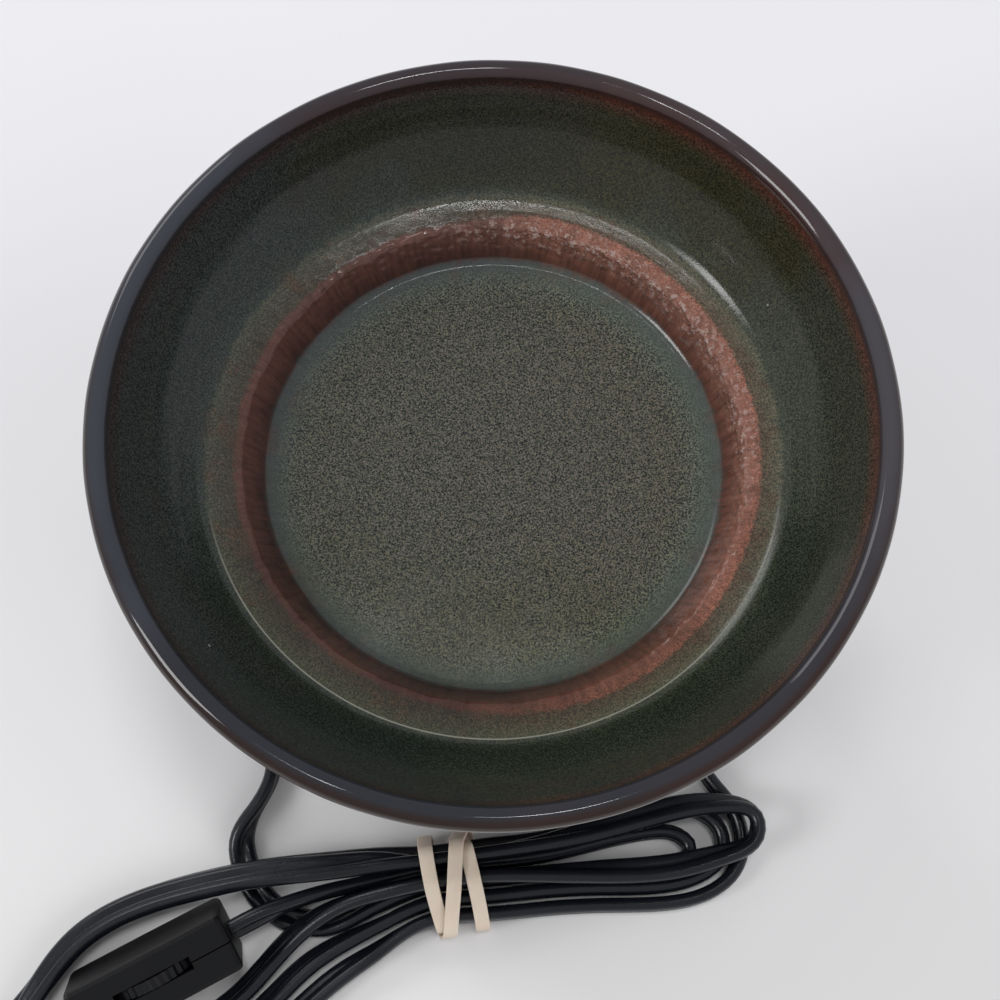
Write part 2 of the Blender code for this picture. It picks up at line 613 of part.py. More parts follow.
def round_line(name, stations, radius, material):
    """Round wire as a curve through stations."""
    points = spaced(smooth_line(stations), 5.0, 25.0)
    data = bpy.data.curves.new(name, "CURVE")
    data.dimensions = "3D"
    data.bevel_depth = radius * MM
    data.bevel_resolution = 1
    data.use_fill_caps = True
    data.resolution_u = 1
    spline = data.splines.new("POLY")
    spline.points.add(len(points) - 1)
    for point, spot in zip(spline.points, points):
        point.co = (*(spot * MM), 1)
    return place(name, data, material)


wire_end = (TERMINAL_AT, TERMINAL_Y + 0.9, TERMINAL_Z - TERMINAL_R - GAP)
for number, side in enumerate((-1, 1), 1):
    start_y = SLEEVE_START_Y - GAP
    route = [(side * 1.6, start_y, LEAD_Z), (side * 1.8, start_y - 5.7, LEAD_Z - 0.8),
             (side * 3.0, 26.0, 8.4),
             (side * 4.2, 18.0, 8.2), (side * 4.5, 12.6, 11.0), (side * 4.5, wire_end[1], 14.5),
             (side * wire_end[0], wire_end[1], wire_end[2])]
    round_line(f"lead_wire_{number}", route, WIRE_R, wire_vinyl)

# Lead: one flat twin cord of two ridges, in three stretches. A station is a place and the lean of
# the flat side in degrees, 0 standing on edge and 90 lying flat, positive to the left of the run.
def waist(strand, height, ahead=1):
    """Stations before and after the band of one strand through the hank's waist."""
    angle = radians(WAIST_ANGLE)
    along = Vector((cos(angle), sin(angle)))
    across = Vector((-along.y, along.x))
    middle = Vector(WAIST_AT) - across * (strand - 2) * STRAND_STEP
    spots = [middle + along * WAIST_HALF * s * ahead for s in (-1, 1)]
    return [(spot.x, spot.y, height, 0) for spot in spots]


exit_y = SLEEVE_END_Y + GAP
feed_out = [(0, exit_y, LEAD_Z, 0), (-0.4, exit_y + 6, 11.2, 0), (-5, 86, 8.5, 0),
            (-14, 91, 4.6, 0), (-26, 89, 3.4, 0), (-42, 78, 3.4, 0), (-57, 60, 3.4, 0),
            (-66, 38, 3.4, 0), (-68, 14, 3.4, 0), (-65, -8, 3.4, 0), (-58, -26, 3.4, 0),
            (-52.0, -37, 3.4, 0), (-51.5, -45.5, 3.4, 0), (-55.0, -53, 3.4, 0),
            (-57.6, -60, 2.6, 50), (-56.2, -66.5, 2.0, 88), (-51.8, -73.4, 2.0, 88),
            (-44.5, -77.8, 2.1, 80), (-37, -78.4, 2.3, 65), (-29, -76.2, 3.4, 15),
            (-21.5, -72.9, 4.9, 0)]
feed_fold = [(12, -66.9, 4.8, 0), (26, -65.6, 3.6, 0), (36.0, -65.3, 3.4, 0),
             (43.0, -64.0, 3.4, 0), (46.6, -60.6, 3.4, 0), (44.0, -57.6, 3.4, 0),
             (37.5, -56.9, 3.4, 0), (26, -59.3, 3.6, 0), (13, -62.6, 4.8, 0)]


def switch_end(side, off):
    """Station a little beyond one end of the switch's case, in line with it."""
    reach = side * (SWITCH_L / 2 + off)
    yaw = radians(SWITCH_YAW)
    return (SWITCH_AT[0] + reach * cos(yaw), SWITCH_AT[1] + reach * sin(yaw), SWITCH_AT[2],
            SWITCH_LEAN)


feed_in = [(-26, -69.2, 6.6, 0), (-37, -71.9, 8.3, 0), (-46.2, -75.3, 11.0, 6),
           switch_end(1, 6.0), switch_end(1, GAP)]
feed_stations = feed_out + waist(2, LOW_Z) + feed_fold + waist(1, LOW_Z, -1) + feed_in

# Loops of the hank: each station's place on the first loop and its step to the next, which lies
# lower and outside it; the loops pass the waist rightwards and come back leftwards.
RIGHT_LOBE = (
    ((12, -67.6, 11.8, 20), (0, -3.2, -7.0, -20)),
    ((25.3, -66.8, 10.6, 48), (0, -3.0, -7.0, -48)),
    ((42, -65.3, 10.0, 62), (-4, -4.0, -6.6, -62)),
    ((54, -62.3, 10.2, 35), (-6, -4.7, -6.8, -35)),
    ((61.0, -58.2, 10.5, 8), (-7.4, -4.1, -7.1, -8)),
    ((61.0, -53.6, 10.5, -8), (-7.6, -2.3, -7.1, 8)),
    ((53.5, -51.0, 10.3, -35), (-5.5, -0.8, -6.9, 35)),
    ((38, -53.3, 10.2, -62), (0, 1.7, -6.8, 62)),
    ((25.2, -57.2, 11.0, -50), (0.3, 2.3, -7.3, 50)),
    ((12, -60.8, 12.3, -20), (1, 2.2, -7.5, 20)),
)
LEFT_LOBE = (
    ((-24, -65.6, 13.0, -35), (0, 2.4, -6.7, 35)),
    ((-34, -66.6, 12.9, -60), (0, 2.4, -6.0, 60)),
    ((-53.1, -68.9, 12.9, -72), (0, 2.2, -5.4, 72)),
    ((-65.7, -71.5, 11.6, -72), (-0.3, 2.1, -5.2, 72)),
    ((-82.3, -76.8, 9.6, -72), (-0.7, 1.9, -5.8, 72)),
    ((-92.6, -83.6, 9.1, -70), (-1.6, 1.4, -5.7, 70)),
    ((-101.1, -95.8, 8.9, -55), (-2.1, 1.2, -5.5, 55)),
    ((-106.0, -105.5, 7.6, -30), (-4.3, 1.0, -4.2, 30)),
    ((-107.6, -116, 5.5, 0), (-5.7, -1.0, -2.1, 0)),
    ((-103.5, -127, 4.0, 0), (-5.0, -3.5, -0.6, 0)),
    ((-94.5, -132.8, 3.4, 0), (-1.5, -5.8, 0, 0)),
    ((-85, -131, 3.4, 0), (2.0, -5.6, 0, 0)),
    ((-76, -122.8, 3.4, 15), (4.0, -4.2, 0, -5)),
    ((-62, -108, 3.2, 42), (5.4, -3.0, 0, 0)),
    ((-48.1, -94.8, 3.2, 42), (7.5, -1.2, 0, 0)),
    ((-40.7, -87.6, 3.2, 40), (7.7, -2.0, 0, 0)),
    ((-31.4, -82.0, 3.7, 22), (6.1, -2.6, -0.1, 0)),
    ((-22.5, -77.8, 5.2, 5), (4.0, -2.4, 0, 0)),
)
LOOPS = 2


def lobe(stations, turn):
    """Stations of one lobe, each moved from the first loop by its step for every loop since."""
    return [tuple(p + turn * s for p, s in zip(spot, step)) for spot, step in stations]


def loop_strand(turn, going_left):
    """Strand number at the waist: loops open outwards from the first one."""
    if going_left:
        return 0.7 - 0.7 * turn
    return 2 + turn


hank_start = [switch_end(-1, GAP), switch_end(-1, 6.0), (-98.6, -106.7, 10.3, 0),
              (-97.9, -112.4, 7.6, 0), (-92.5, -115.6, 5.2, 0), (-85, -114.3, 3.9, 25),
              (-75, -108.5, 3.2, 35), (-65.4, -101.6, 3.2, 42), (-56.6, -95.0, 3.3, 42),
              (-48.9, -86.8, 5.0, 42), (-41.7, -79.8, 7.4, 38), (-31.5, -74.4, 10.3, 14),
              (-22.5, -72.1, 12.2, 5)]
hank_stations = list(hank_start)
for turn in range(LOOPS):
    height = HIGH_Z + turn * (LOW_Z - HIGH_Z)
    hank_stations += waist(loop_strand(turn, False), height)
    hank_stations += lobe(RIGHT_LOBE, turn)
    hank_stations += waist(loop_strand(turn, True), height, -1)
    hank_stations += lobe(LEFT_LOBE, turn)
tail_out = [(12, -74.8, 4.7, 0), (26, -73.7, 3.5, 0), (40, -73.1, 3.4, 0), (50.6, -70.5, 3.4, 0),
            (57.2, -64.7, 3.4, 0), (58.6, -57.5, 3.4, 0), (55.9, -50.0, 3.4, 0),
            (51.0, -43.8, 3.4, 0), (48.6, -36.0, 3.4, 0), (49.6, -27.0, 3.4, 0)]
hank_stations += waist(4, LOW_Z) + tail_out
BREAK_Y = -31.0
tail_stations = [(53.6, -17, 3.4, 0), (59, -6, 3.4, 0), (62, 6, 3.4, 0),
                 (62.5, 16, 4.6, 20), (62.5, 24, 6.4, 60), (62.5, PLUG_AT[1] - GAP, PLUG_AT[2], 90)]


def flat_lead(name, line, material):
    """Flat twin lead as a curve of stadium section, its width standing up at lean 0."""
    points = spaced(line, 12.0, 30.0)
    data = bpy.data.curves.new(name, "CURVE")
    data.dimensions = "3D"
    data.twist_mode = "Z_UP"
    data.extrude = (LEAD_WIDE - LEAD_THICK) / 2 * MM
    data.bevel_depth = LEAD_THICK / 2 * MM
    data.bevel_resolution = 1
    data.use_fill_caps = True
    data.resolution_u = 1
    spline = data.splines.new("POLY")
    spline.points.add(len(points) - 1)
    for point, spot in zip(spline.points, points):
        point.co = (*(spot[:3] * MM), 1)
        point.tilt = radians(spot[3])
    place(name, data, material)
    return points


def core_points(line, across=5):
    """Points across the flat between the two ridges' centres, along a lead."""
    run = run_of(line)
    wanted = np.linspace(0, run[-1], int(run[-1]) + 1)
    fine = np.stack([np.interp(wanted, run, line[:, k]) for k in range(4)], axis=1)
    _, up, left = frames(fine)
    lean = np.radians(fine[:, 3])[:, None]
    width = up * np.cos(lean) + left * np.sin(lean)
    share = np.linspace(-1, 1, across)[None, :, None] * (LEAD_WIDE - LEAD_THICK) / 2
    return fine[:, None, :3] + width[:, None, :] * share, wanted


def least_gap(leads, near=12.0):
    """Least gap between stretches of the leads that are further apart along them than near."""
    spots = []
    runs = []
    for number, line in enumerate(leads):
        core, run = core_points(line)
        spots.append(core.reshape(-1, 3))
        runs.append(np.repeat(run, core.shape[1]) + number * 1e4)
    spots = np.concatenate(spots)
    runs = np.concatenate(runs)
    least = 1e9
    for first in range(0, len(spots), 500):
        apart = np.linalg.norm(spots[first:first + 500, None] - spots[None], axis=2)
        apart[np.abs(runs[first:first + 500, None] - runs[None]) < near] = 1e9
        least = min(least, apart.min())
    return least - LEAD_THICK


def run_of(line):
    """Length along a line at each of its points."""
    return np.concatenate(([0], np.cumsum(np.linalg.norm(np.diff(line[:, :3], axis=0), axis=1))))


def stretch(line, run, first, last):
    """Part of a line between two lengths along it."""
    inner = line[(run > first) & (run < last)]
    ends = [[np.interp(at, run, line[:, k]) for k in range(line.shape[1])] for at in (first, last)]
    return np.vstack((ends[:1], inner, ends[1:]))


feed_line = flat_lead("cord_feed", settled(smooth_line(feed_stations)), lead_black)
whole = settled(smooth_line(hank_stations + tail_stations))
run = run_of(whole)
parting = run[len(run) - 1 - np.argmax(whole[::-1, 1] < BREAK_Y)]
hank_line = flat_lead("cord_hank", stretch(whole, run, 0, parting), lead_black)
tail_line = flat_lead("cord_tail", stretch(whole, run, parting + GAP, run[-1]), lead_black)
print("lengths mm", *[run_of(line)[-1] for line in (feed_line, hank_line, tail_line)])
print("least gap of hank and feed mm", least_gap([feed_line, hank_line]))

# Rubber band: one flat ring stretched three times round the bundle, its turns crossing. The path
# follows the bundle's outline while it drifts along the bundle and weaves in and out.
def bundle_outline():
    """Corners of the bundle at the waist, as (across, height) of the strands' ridge centres."""
    ridge = (LEAD_WIDE - LEAD_THICK) / 2
    across = 2 * STRAND_STEP
    top_right = (2 - loop_strand(0, True)) * STRAND_STEP
    return [(-across, LOW_Z - ridge), (across, LOW_Z - ridge), (across, LOW_Z + ridge),
            (top_right, HIGH_Z + ridge), (0, HIGH_Z + ridge), (-across, LOW_Z + ridge)]


def around(corners, off, share):
    """Point at a share of the way round the convex corners, grown outwards by off, and its
    outward direction."""
    pieces = []
    for i, (x, y) in enumerate(corners):
        last = Vector(corners[i - 1])
        here = Vector((x, y))
        after = Vector(corners[(i + 1) % len(corners)])
        side_in = (here - last).normalized()
        side_out = (after - here).normalized()
        first = atan2(-side_in.x, side_in.y)
        sweep = (atan2(-side_out.x, side_out.y) - first) % (2 * pi)
        pieces.append(("turn", here, first, sweep, sweep * off))
        pieces.append(("side", here, side_out, 0, (after - here).length))
    total = sum(piece[4] for piece in pieces)
    left = (share % 1.0) * total
    for kind, here, way, sweep, size in pieces:
        if left <= size:
            break
        left -= size
    if kind == "turn":
        angle = way + sweep * left / size
        out = Vector((cos(angle), sin(angle)))
        return here + out * off, out
    out = Vector((way.y, -way.x))
    return here + way * left + out * off, out


corners = bundle_outline()
angle = radians(WAIST_ANGLE)
along = Vector((cos(angle), sin(angle), 0))
across = Vector((-along.y, along.x, 0))
middle = Vector((*WAIST_AT, 0))
count = 32 * BAND_TURNS
path = []
outwards = []
for k in range(count):
    phase = 2 * pi * k / count
    off = LEAD_THICK / 2 + BAND_OFF + BAND_WEAVE * sin(phase)
    spot, out = around(corners, off, BAND_TURNS * k / count)
    path.append(middle + across * spot.x + Vector((0, 0, spot.y))
                + along * BAND_SPREAD * cos(phase))
    outwards.append(across * out.x + Vector((0, 0, out.y)))
band = bmesh.new()
rings = []
for k in range(count):
    ahead = (path[(k + 1) % count] - path[k - 1]).normalized()
    side = ahead.cross(outwards[k]).normalized()
    up = side.cross(ahead)
    ring = []
    for s, u in ((-1, -1), (1, -1), (1, 1), (-1, 1)):
        ring.append(band.verts.new((path[k] + side * s * BAND_W / 2 + up * u * BAND_T / 2) * MM))
    rings.append(ring)
for k in range(count):
    one = rings[k]
    two = rings[(k + 1) % count]
    for j in range(4):
        band.faces.new((one[j], one[(j + 1) % 4], two[(j + 1) % 4], two[j]))
place("rubber_band", mesh_of(band, "rubber_band"), band_rubber)

# Switch: two screwed half cases, split along the lead, hold a toothed thumbwheel on a pin and two
# contact springs. Everything is made in the switch's own frame: X along the lead, Z up the slot.
switch = bpy.data.objects.new("switch_frame", None)
bpy.context.collection.objects.link(switch)
switch.location = [v * MM for v in SWITCH_AT]
switch.rotation_euler = (radians(SWITCH_LEAN), 0, radians(SWITCH_YAW))
half_l = SWITCH_L / 2
half_h = SWITCH_W / 2
half_t = SWITCH_T / 2
split = GAP / 2
barrel = rounded([(-half_l, -half_h, 1.2), (0, -half_h - SWITCH_CREST, 0), (half_l, -half_h, 1.2),
                  (half_l, half_h, 1.2), (0, half_h + SWITCH_CREST, 0), (-half_l, half_h, 1.2)],
                 step=45)
for name, side in (("switch_case_front", -1), ("switch_case_back", 1)):
    bm = bmesh.new()
    add_prism(bm, barrel, split, half_t)
    rim = [e for e in bm.edges if all(abs(v.co.z - half_t * MM) < 1e-6 for v in e.verts)]
    bmesh.ops.bevel(bm, geom=rim, offset=1.1 * MM, segments=2, profile=0.5, affect="EDGES",
                    material=-1)
    lay = Matrix.Rotation(radians(-90 * side), 4, "X")
    bmesh.ops.transform(bm, matrix=lay, verts=bm.verts)
    case = place(name, mesh_of(bm, name), switch_black, parent=switch)
    inside_cut = bmesh.new()
    pocket = [(-POCKET_X, -POCKET_Z), (POCKET_X, -POCKET_Z), (POCKET_X, POCKET_Z),
              (-POCKET_X, POCKET_Z)]
    add_prism(inside_cut, pocket, -1, POCKET_DEPTH)
    bmesh.ops.transform(inside_cut, matrix=lay, verts=inside_cut.verts)
    combine(case, inside_cut)
    openings = bmesh.new()
    slot_half = WHEEL_T / 2 + GAP
    slot = [(-SLOT_X, -1), (SLOT_X, -1), (SLOT_X, slot_half), (-SLOT_X, slot_half)]
    add_prism(openings, [(x, side * y) for x, y in slot], POCKET_Z - 1, half_h + 2)
    add_turned(openings, rod(PIN_R + GAP, POCKET_DEPTH - 1, POCKET_DEPTH + 0.5), 16,
               (0, 0, WHEEL_Z), lay)
    head_low = half_t - CASE_BOLT_SINK - CASE_BOLT_HEAD_H - GAP
    hole_r = CASE_BOLT_R + GAP
    head_hole_r = CASE_BOLT_HEAD_R + GAP
    for x in (-CASE_BOLT_AT, CASE_BOLT_AT):
        if side < 0:
            bolt = [(0, -1), (hole_r, -1), (hole_r, head_low), (head_hole_r, head_low),
                    (head_hole_r, half_t + 1), (0, half_t + 1)]
        else:
            bolt = rod(hole_r, -1, CASE_BOLT_BITE + GAP)
        add_turned(openings, bolt, 16, (x, 0, 0), lay)
    combine(case, openings)
for number, x in enumerate((-CASE_BOLT_AT, CASE_BOLT_AT), 1):
    head_at = CASE_BOLT_SINK - half_t
    screw(f"switch_screw_{number}", CASE_BOLT_HEAD_R, CASE_BOLT_HEAD_H, CASE_BOLT_R,
          CASE_BOLT_BITE - head_at, (x, head_at, 0), (-90, 0, 0), switch)

wheel_outline = []
for k in range(2 * WHEEL_TEETH):
    a = pi * (k + 0.5) / WHEEL_TEETH
    r = WHEEL_R - TOOTH_DEPTH * (k % 2)
    wheel_outline.append((r * cos(a), r * sin(a)))
wheel = prism("switch_wheel", wheel_outline, -WHEEL_T / 2, WHEEL_T / 2, wheel_black,
              (0, 0, WHEEL_Z), (90, 0, 0), switch)
wheel_bore = bmesh.new()
add_turned(wheel_bore, rod(WHEEL_BORE, -WHEEL_T, WHEEL_T), 16, (0, 0, WHEEL_Z), crosswise("Y"))
combine(wheel, wheel_bore)
turned("wheel_pin", rod(PIN_R, -POCKET_DEPTH - 0.2, POCKET_DEPTH + 0.2), 16, steel,
       (0, 0, WHEEL_Z), (90, 0, 0), switch)
strip_end = GAP - POCKET_X
strip_side = POCKET_DEPTH - GAP
strip = [(strip_end, strip_side - 0.5), (-3.6, strip_side - 0.5), (-2.6, 2.6), (-2.6, 1.7),
         (-2.1, 1.7), (-2.1, 2.8), (-3.2, strip_side), (strip_end, strip_side)]
for number, side in enumerate((1, -1), 1):
    prism(f"switch_contact_{number}", [(side * x, y) for x, y in strip], WHEEL_Z - 1.5,
          WHEEL_Z + 1.5, brass, parent=switch)

# Plug: a moulded two-blade plug lying flat, its neck to the lead and its blades away from it.
plug = bpy.data.objects.new("plug_frame", None)
bpy.context.collection.objects.link(plug)
plug.location = [v * MM for v in PLUG_AT]
plug_half = PLUG_W / 2
plug_shape = rounded([(-4.6, 0, 1.0), (-4.6, 7.0, 2.0), (-plug_half, 12.0, 3.0),
                      (-plug_half, PLUG_L, 1.5), (plug_half, PLUG_L, 1.5), (plug_half, 12.0, 3.0),
                      (4.6, 7.0, 2.0), (4.6, 0, 1.0)], step=45)
bm = bmesh.new()
add_prism(bm, plug_shape, -PLUG_H / 2, PLUG_H / 2)
level = [e for e in bm.edges if abs(e.verts[0].co.z - e.verts[1].co.z) < 1e-7]
bmesh.ops.bevel(bm, geom=level, offset=0.6 * MM, segments=2, profile=0.5, affect="EDGES",
                material=-1)
place("plug_body", mesh_of(bm, "plug_body"), plug_vinyl, parent=plug)
for name, side, wide in (("plug_blade_narrow", -1, NARROW_BLADE), ("plug_blade_wide", 1, WIDE_BLADE)):
    start = PLUG_L + GAP
    blade = rounded([(start, -wide / 2, 0), (start + BLADE_L, -wide / 2, 1.5),
                     (start + BLADE_L, wide / 2, 1.5), (start, wide / 2, 0)], step=45)
    made = prism(name, blade, -BLADE_T / 2, BLADE_T / 2, brass,
                 (side * BLADE_APART / 2, 0, 0), (90, 0, 90), plug)
    hole = bmesh.new()
    add_turned(hole, rod(BLADE_HOLE_R, -BLADE_T * 2, BLADE_T * 2), 12,
               (side * BLADE_APART / 2, start + BLADE_L - 4.0, 0), crosswise("X"))
    combine(made, hole)
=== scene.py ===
"""Electric wax warmer: a reactive-glazed stoneware dish on a lamp-heated body, with its flat twin
lead folded into a banded hank in front, lying on a pale table."""
from math import acos, atan2, ceil, cos, degrees, pi, radians, sin, tan

import bmesh
import bpy
import numpy as np
from mathutils import Matrix, Vector, noise


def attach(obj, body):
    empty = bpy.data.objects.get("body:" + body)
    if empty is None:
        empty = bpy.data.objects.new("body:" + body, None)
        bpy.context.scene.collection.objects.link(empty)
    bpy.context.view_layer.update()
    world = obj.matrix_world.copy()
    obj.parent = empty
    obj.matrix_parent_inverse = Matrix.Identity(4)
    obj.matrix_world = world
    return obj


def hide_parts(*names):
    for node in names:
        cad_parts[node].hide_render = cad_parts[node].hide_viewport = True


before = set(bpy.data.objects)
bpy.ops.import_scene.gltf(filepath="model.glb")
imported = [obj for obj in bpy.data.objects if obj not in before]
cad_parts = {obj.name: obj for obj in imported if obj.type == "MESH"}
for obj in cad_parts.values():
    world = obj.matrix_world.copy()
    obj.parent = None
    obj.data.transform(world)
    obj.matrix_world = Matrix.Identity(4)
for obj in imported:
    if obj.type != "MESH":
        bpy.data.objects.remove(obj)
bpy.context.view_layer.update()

# Camera: a phone held above and in front of the warmer, pitched 72 degrees down. All sizes in
# this file are millimetres on a table at height 0, turned into metres by MM where they are used.
MM = 0.001
FOCAL_PX = 1700.0
PHOTO_PX = 1000.0
SENSOR = 36.0
CAMERA_AT = (1.3, -105.8, 403.9)
CAMERA_PITCH = 72.05
CAMERA_ROLL = -0.82

ahead = Vector((0, cos(radians(CAMERA_PITCH)), -sin(radians(CAMERA_PITCH))))
level = Vector((1, 0, 0))
below = ahead.cross(level)
roll = radians(CAMERA_ROLL)
right = level * cos(roll) + below * sin(roll)
down = below * cos(roll) - level * sin(roll)
lens = bpy.data.cameras.new("phone_camera")
lens.sensor_width = SENSOR
lens.lens = FOCAL_PX / PHOTO_PX * SENSOR
camera = bpy.data.objects.new("phone_camera", lens)
facing = Matrix((right, -down, -ahead)).transposed()
camera.matrix_world = Matrix.Translation(Vector(CAMERA_AT) * MM) @ facing.to_4x4()
bpy.context.collection.objects.link(camera)
bpy.context.scene.camera = camera
bpy.context.scene.view_settings.view_transform = "Standard"


# Table and room: a matt pale table top, painted greyer towards the front as shade, in the soft
# light of a room with two windows on the left and two ceiling spots that show as highlights,
# three broad lights that give no reflection of their own, and an even world.
def srgb(code):
    """Linear colour of an sRGB hex value."""
    parts = [int(code[i:i + 2], 16) / 255 for i in (1, 3, 5)]
    linear = [v / 12.92 if v <= 0.04045 else ((v + 0.055) / 1.055) ** 2.4 for v in parts]
    return (*linear, 1.0)


def feed(node, sources):
    """Link sources, each a socket or a node's main output, to the inputs they are given for."""
    for name, source in sources.items():
        if isinstance(source, bpy.types.Node):
            source = source.outputs[2 if source.type == "MIX" else 0]
        node.id_data.links.new(source, node.inputs[name])


def add_node(tree, kind, links=None, stops=(), **settings):
    """Shader node of a kind with its settings; links give an input's name or number and its
    source, and stops a colour ramp's places and colours. A mix is one of colours."""
    node = tree.nodes.new("ShaderNode" + kind)
    if kind == "Mix":
        node.data_type = "RGBA"
    for k, (at, colour) in enumerate(stops):
        if k > 1:
            node.color_ramp.elements.new(at)
        node.color_ramp.elements[k].position = at
        node.color_ramp.elements[k].color = srgb(colour)
    for name, value in settings.items():
        if name.startswith("in_"):
            key = name[3:]
            node.inputs[int(key) if key.isdigit() else key.replace("_", " ")].default_value = value
        else:
            setattr(node, name, value)
    feed(node, links or {})
    return node


def new_material(name, base, roughness, **sockets):
    """Material with its node tree, its shader, which gets the values that are even all over, and
    the object's own coordinates."""
    made = bpy.data.materials.new(name)
    made.use_nodes = True
    shader = made.node_tree.nodes["Principled BSDF"]
    shader.inputs["Base Color"].default_value = srgb(base)
    shader.inputs["Roughness"].default_value = roughness
    for key, value in sockets.items():
        shader.inputs[key.replace("_", " ")].default_value = value
    coords = add_node(made.node_tree, "TexCoord").outputs["Object"]
    return made, made.node_tree, shader, coords


table_top = bpy.data.meshes.new("table_top")
bm = bmesh.new()
bmesh.ops.create_grid(bm, x_segments=1, y_segments=1, size=3.0)
bm.to_mesh(table_top)
bm.free()
table = bpy.data.objects.new("table_top", table_top)
bpy.context.collection.objects.link(table)
laminate, tree, shader, coords = new_material("pale_table", "#d9dade", 0.6)
# Painted shade: the table's colour greys towards the front
place_on = add_node(tree, "SeparateXYZ", {0: coords})
front_shade_fade = add_node(tree, "MapRange", {"Value": place_on.outputs["Y"]}, in_From_Min=-0.13,
                in_From_Max=0.12, interpolation_type="SMOOTHSTEP")
tint = add_node(tree, "Mix", {"Factor": front_shade_fade}, in_6=srgb("#e2e2e2"), in_7=srgb("#e6e6e9"))
feed(shader, {"Base Color": tint})
table.data.materials.append(laminate)


def soft_lamp(name, at, toward, size, power):
    """White rectangular lamp at a place, facing a point, both in metres."""
    data = bpy.data.lights.new(name, "AREA")
    data.shape = "RECTANGLE"
    data.size, data.size_y = size
    data.energy = power
    lamp = bpy.data.objects.new(name, data)
    lamp.location = at
    way = Vector(toward) - Vector(at)
    lamp.rotation_euler = way.to_track_quat("-Z", "Y").to_euler()
    bpy.context.collection.objects.link(lamp)
    return lamp


WINDOW_AT = (-1.15, 1.35, 1.25)
WINDOW_SIZE = (0.7, 0.9)
soft_lamp("side_window", (-1.45, -0.55, 1.35), (0, 0, 0.08), (0.5, 0.8), 9.5)
soft_lamp("window_light", WINDOW_AT, (0, 0, 0.08), WINDOW_SIZE, 4.5)
soft_lamp("left_spot", (-0.27, 0.24, 2.3), (0, 0, 0.05), (0.25, 0.08), 1.0)
soft_lamp("right_spot", (0.09, 0.2, 2.3), (0, 0, 0.05), (0.2, 0.06), 1.4)
for name, at, size, power in (("window_fill", WINDOW_AT, WINDOW_SIZE, 8.0),
                              ("ceiling_light", (0.16, 0.02, 1.9), (0.3, 0.3), 8.5),
                              ("room_light", (1.5, -0.6, 1.6), (1.4, 1.4), 10.5)):
    broad = soft_lamp(name, at, (0, 0, 0.05), size, power)
    broad.visible_glossy = False
world = bpy.data.worlds.new("room")
world.use_nodes = True
world.node_tree.nodes["Background"].inputs["Color"].default_value = srgb("#e8e8eb")
world.node_tree.nodes["Background"].inputs["Strength"].default_value = 0.49
bpy.context.scene.world = world

# Lead: flat twin flex, two vinyl-covered cores side by side with a groove between, extruded in
# one piece. It comes out of the body's back, round the left side, through the band and back to the
# switch, then makes the hank's loops and ends in the plug behind the right side.
LEAD_WIDE = 6.4
LEAD_THICK = 3.2
GROOVE = 0.9
LEAD_Z = 11.5
SLEEVE_END_Y = 71.9
GAP = 0.3
PLUG_AT = (62.5, 32.0, 6.8)
SWITCH_AT = (-73.7, -89.9, 12.15)
SWITCH_YAW = 28.5
SWITCH_LEAN = 19.0
SWITCH_L = 37.0
BREAK_Y = -31.0
WAIST_AT = (-8.0, -69.5)
WAIST_ANGLE = 8.0
WAIST_HALF = 6.9
STRAND_STEP = 3.85
LOW_Z = 6.1
HIGH_Z = 13.2
LOOPS = 2
STRAIGHT = 6.0
LEAD_STEP = 1.6
TABLE_GAP = 0.2


def waist(strand, height, heading=1):
    """Stations before and after the band of one strand through the hank's waist; a heading of
    -1 leads to the left."""
    angle = radians(WAIST_ANGLE)
    along = Vector((cos(angle), sin(angle)))
    across = Vector((-along.y, along.x))
    middle = Vector(WAIST_AT) - across * (strand - 2) * STRAND_STEP
    spots = [middle + along * WAIST_HALF * s * heading for s in (-1, 1)]
    return [(spot.x, spot.y, height, 0) for spot in spots]


def switch_end(side, off):
    """Station a little beyond one end of the switch's case, in line with it."""
    reach = side * (SWITCH_L / 2 + off)
    yaw = radians(SWITCH_YAW)
    return (SWITCH_AT[0] + reach * cos(yaw), SWITCH_AT[1] + reach * sin(yaw), SWITCH_AT[2],
            SWITCH_LEAN)


exit_y = SLEEVE_END_Y + GAP
feed_out = [(0, exit_y, LEAD_Z, 0), (-0.4, exit_y + 6, 11.2, 0), (-5, 86, 8.5, 0),
            (-14, 91, 4.6, 0), (-26, 89, 3.4, 0), (-42, 78, 3.4, 0), (-57, 60, 3.4, 0),
            (-66, 38, 3.4, 0), (-68, 14, 3.4, 0), (-65, -8, 3.4, 0), (-58, -26, 3.4, 0),
            (-52.0, -37, 3.4, 0), (-51.5, -45.5, 3.4, 0), (-55.0, -53, 3.4, 0),
            (-57.6, -60, 2.6, 50), (-56.2, -66.5, 2.0, 88), (-51.8, -73.4, 2.0, 88),
            (-44.5, -77.8, 2.1, 80), (-37, -78.4, 2.3, 65), (-29, -76.2, 3.4, 15),
            (-21.5, -72.9, 4.9, 0)]
feed_fold = [(12, -66.9, 4.8, 0), (26, -65.6, 3.6, 0), (36.0, -65.3, 3.4, 0),
             (43.0, -64.0, 3.4, 0), (46.6, -60.6, 3.4, 0), (44.0, -57.6, 3.4, 0),
             (37.5, -56.9, 3.4, 0), (26, -59.3, 3.6, 0), (13, -62.6, 4.8, 0)]
feed_in = [(-26, -69.2, 6.6, 0), (-37, -71.9, 8.3, 0), (-46.2, -75.3, 11.0, 6),
           switch_end(1, STRAIGHT), switch_end(1, GAP)]
feed_stations = feed_out + waist(2, LOW_Z) + feed_fold + waist(1, LOW_Z, -1) + feed_in
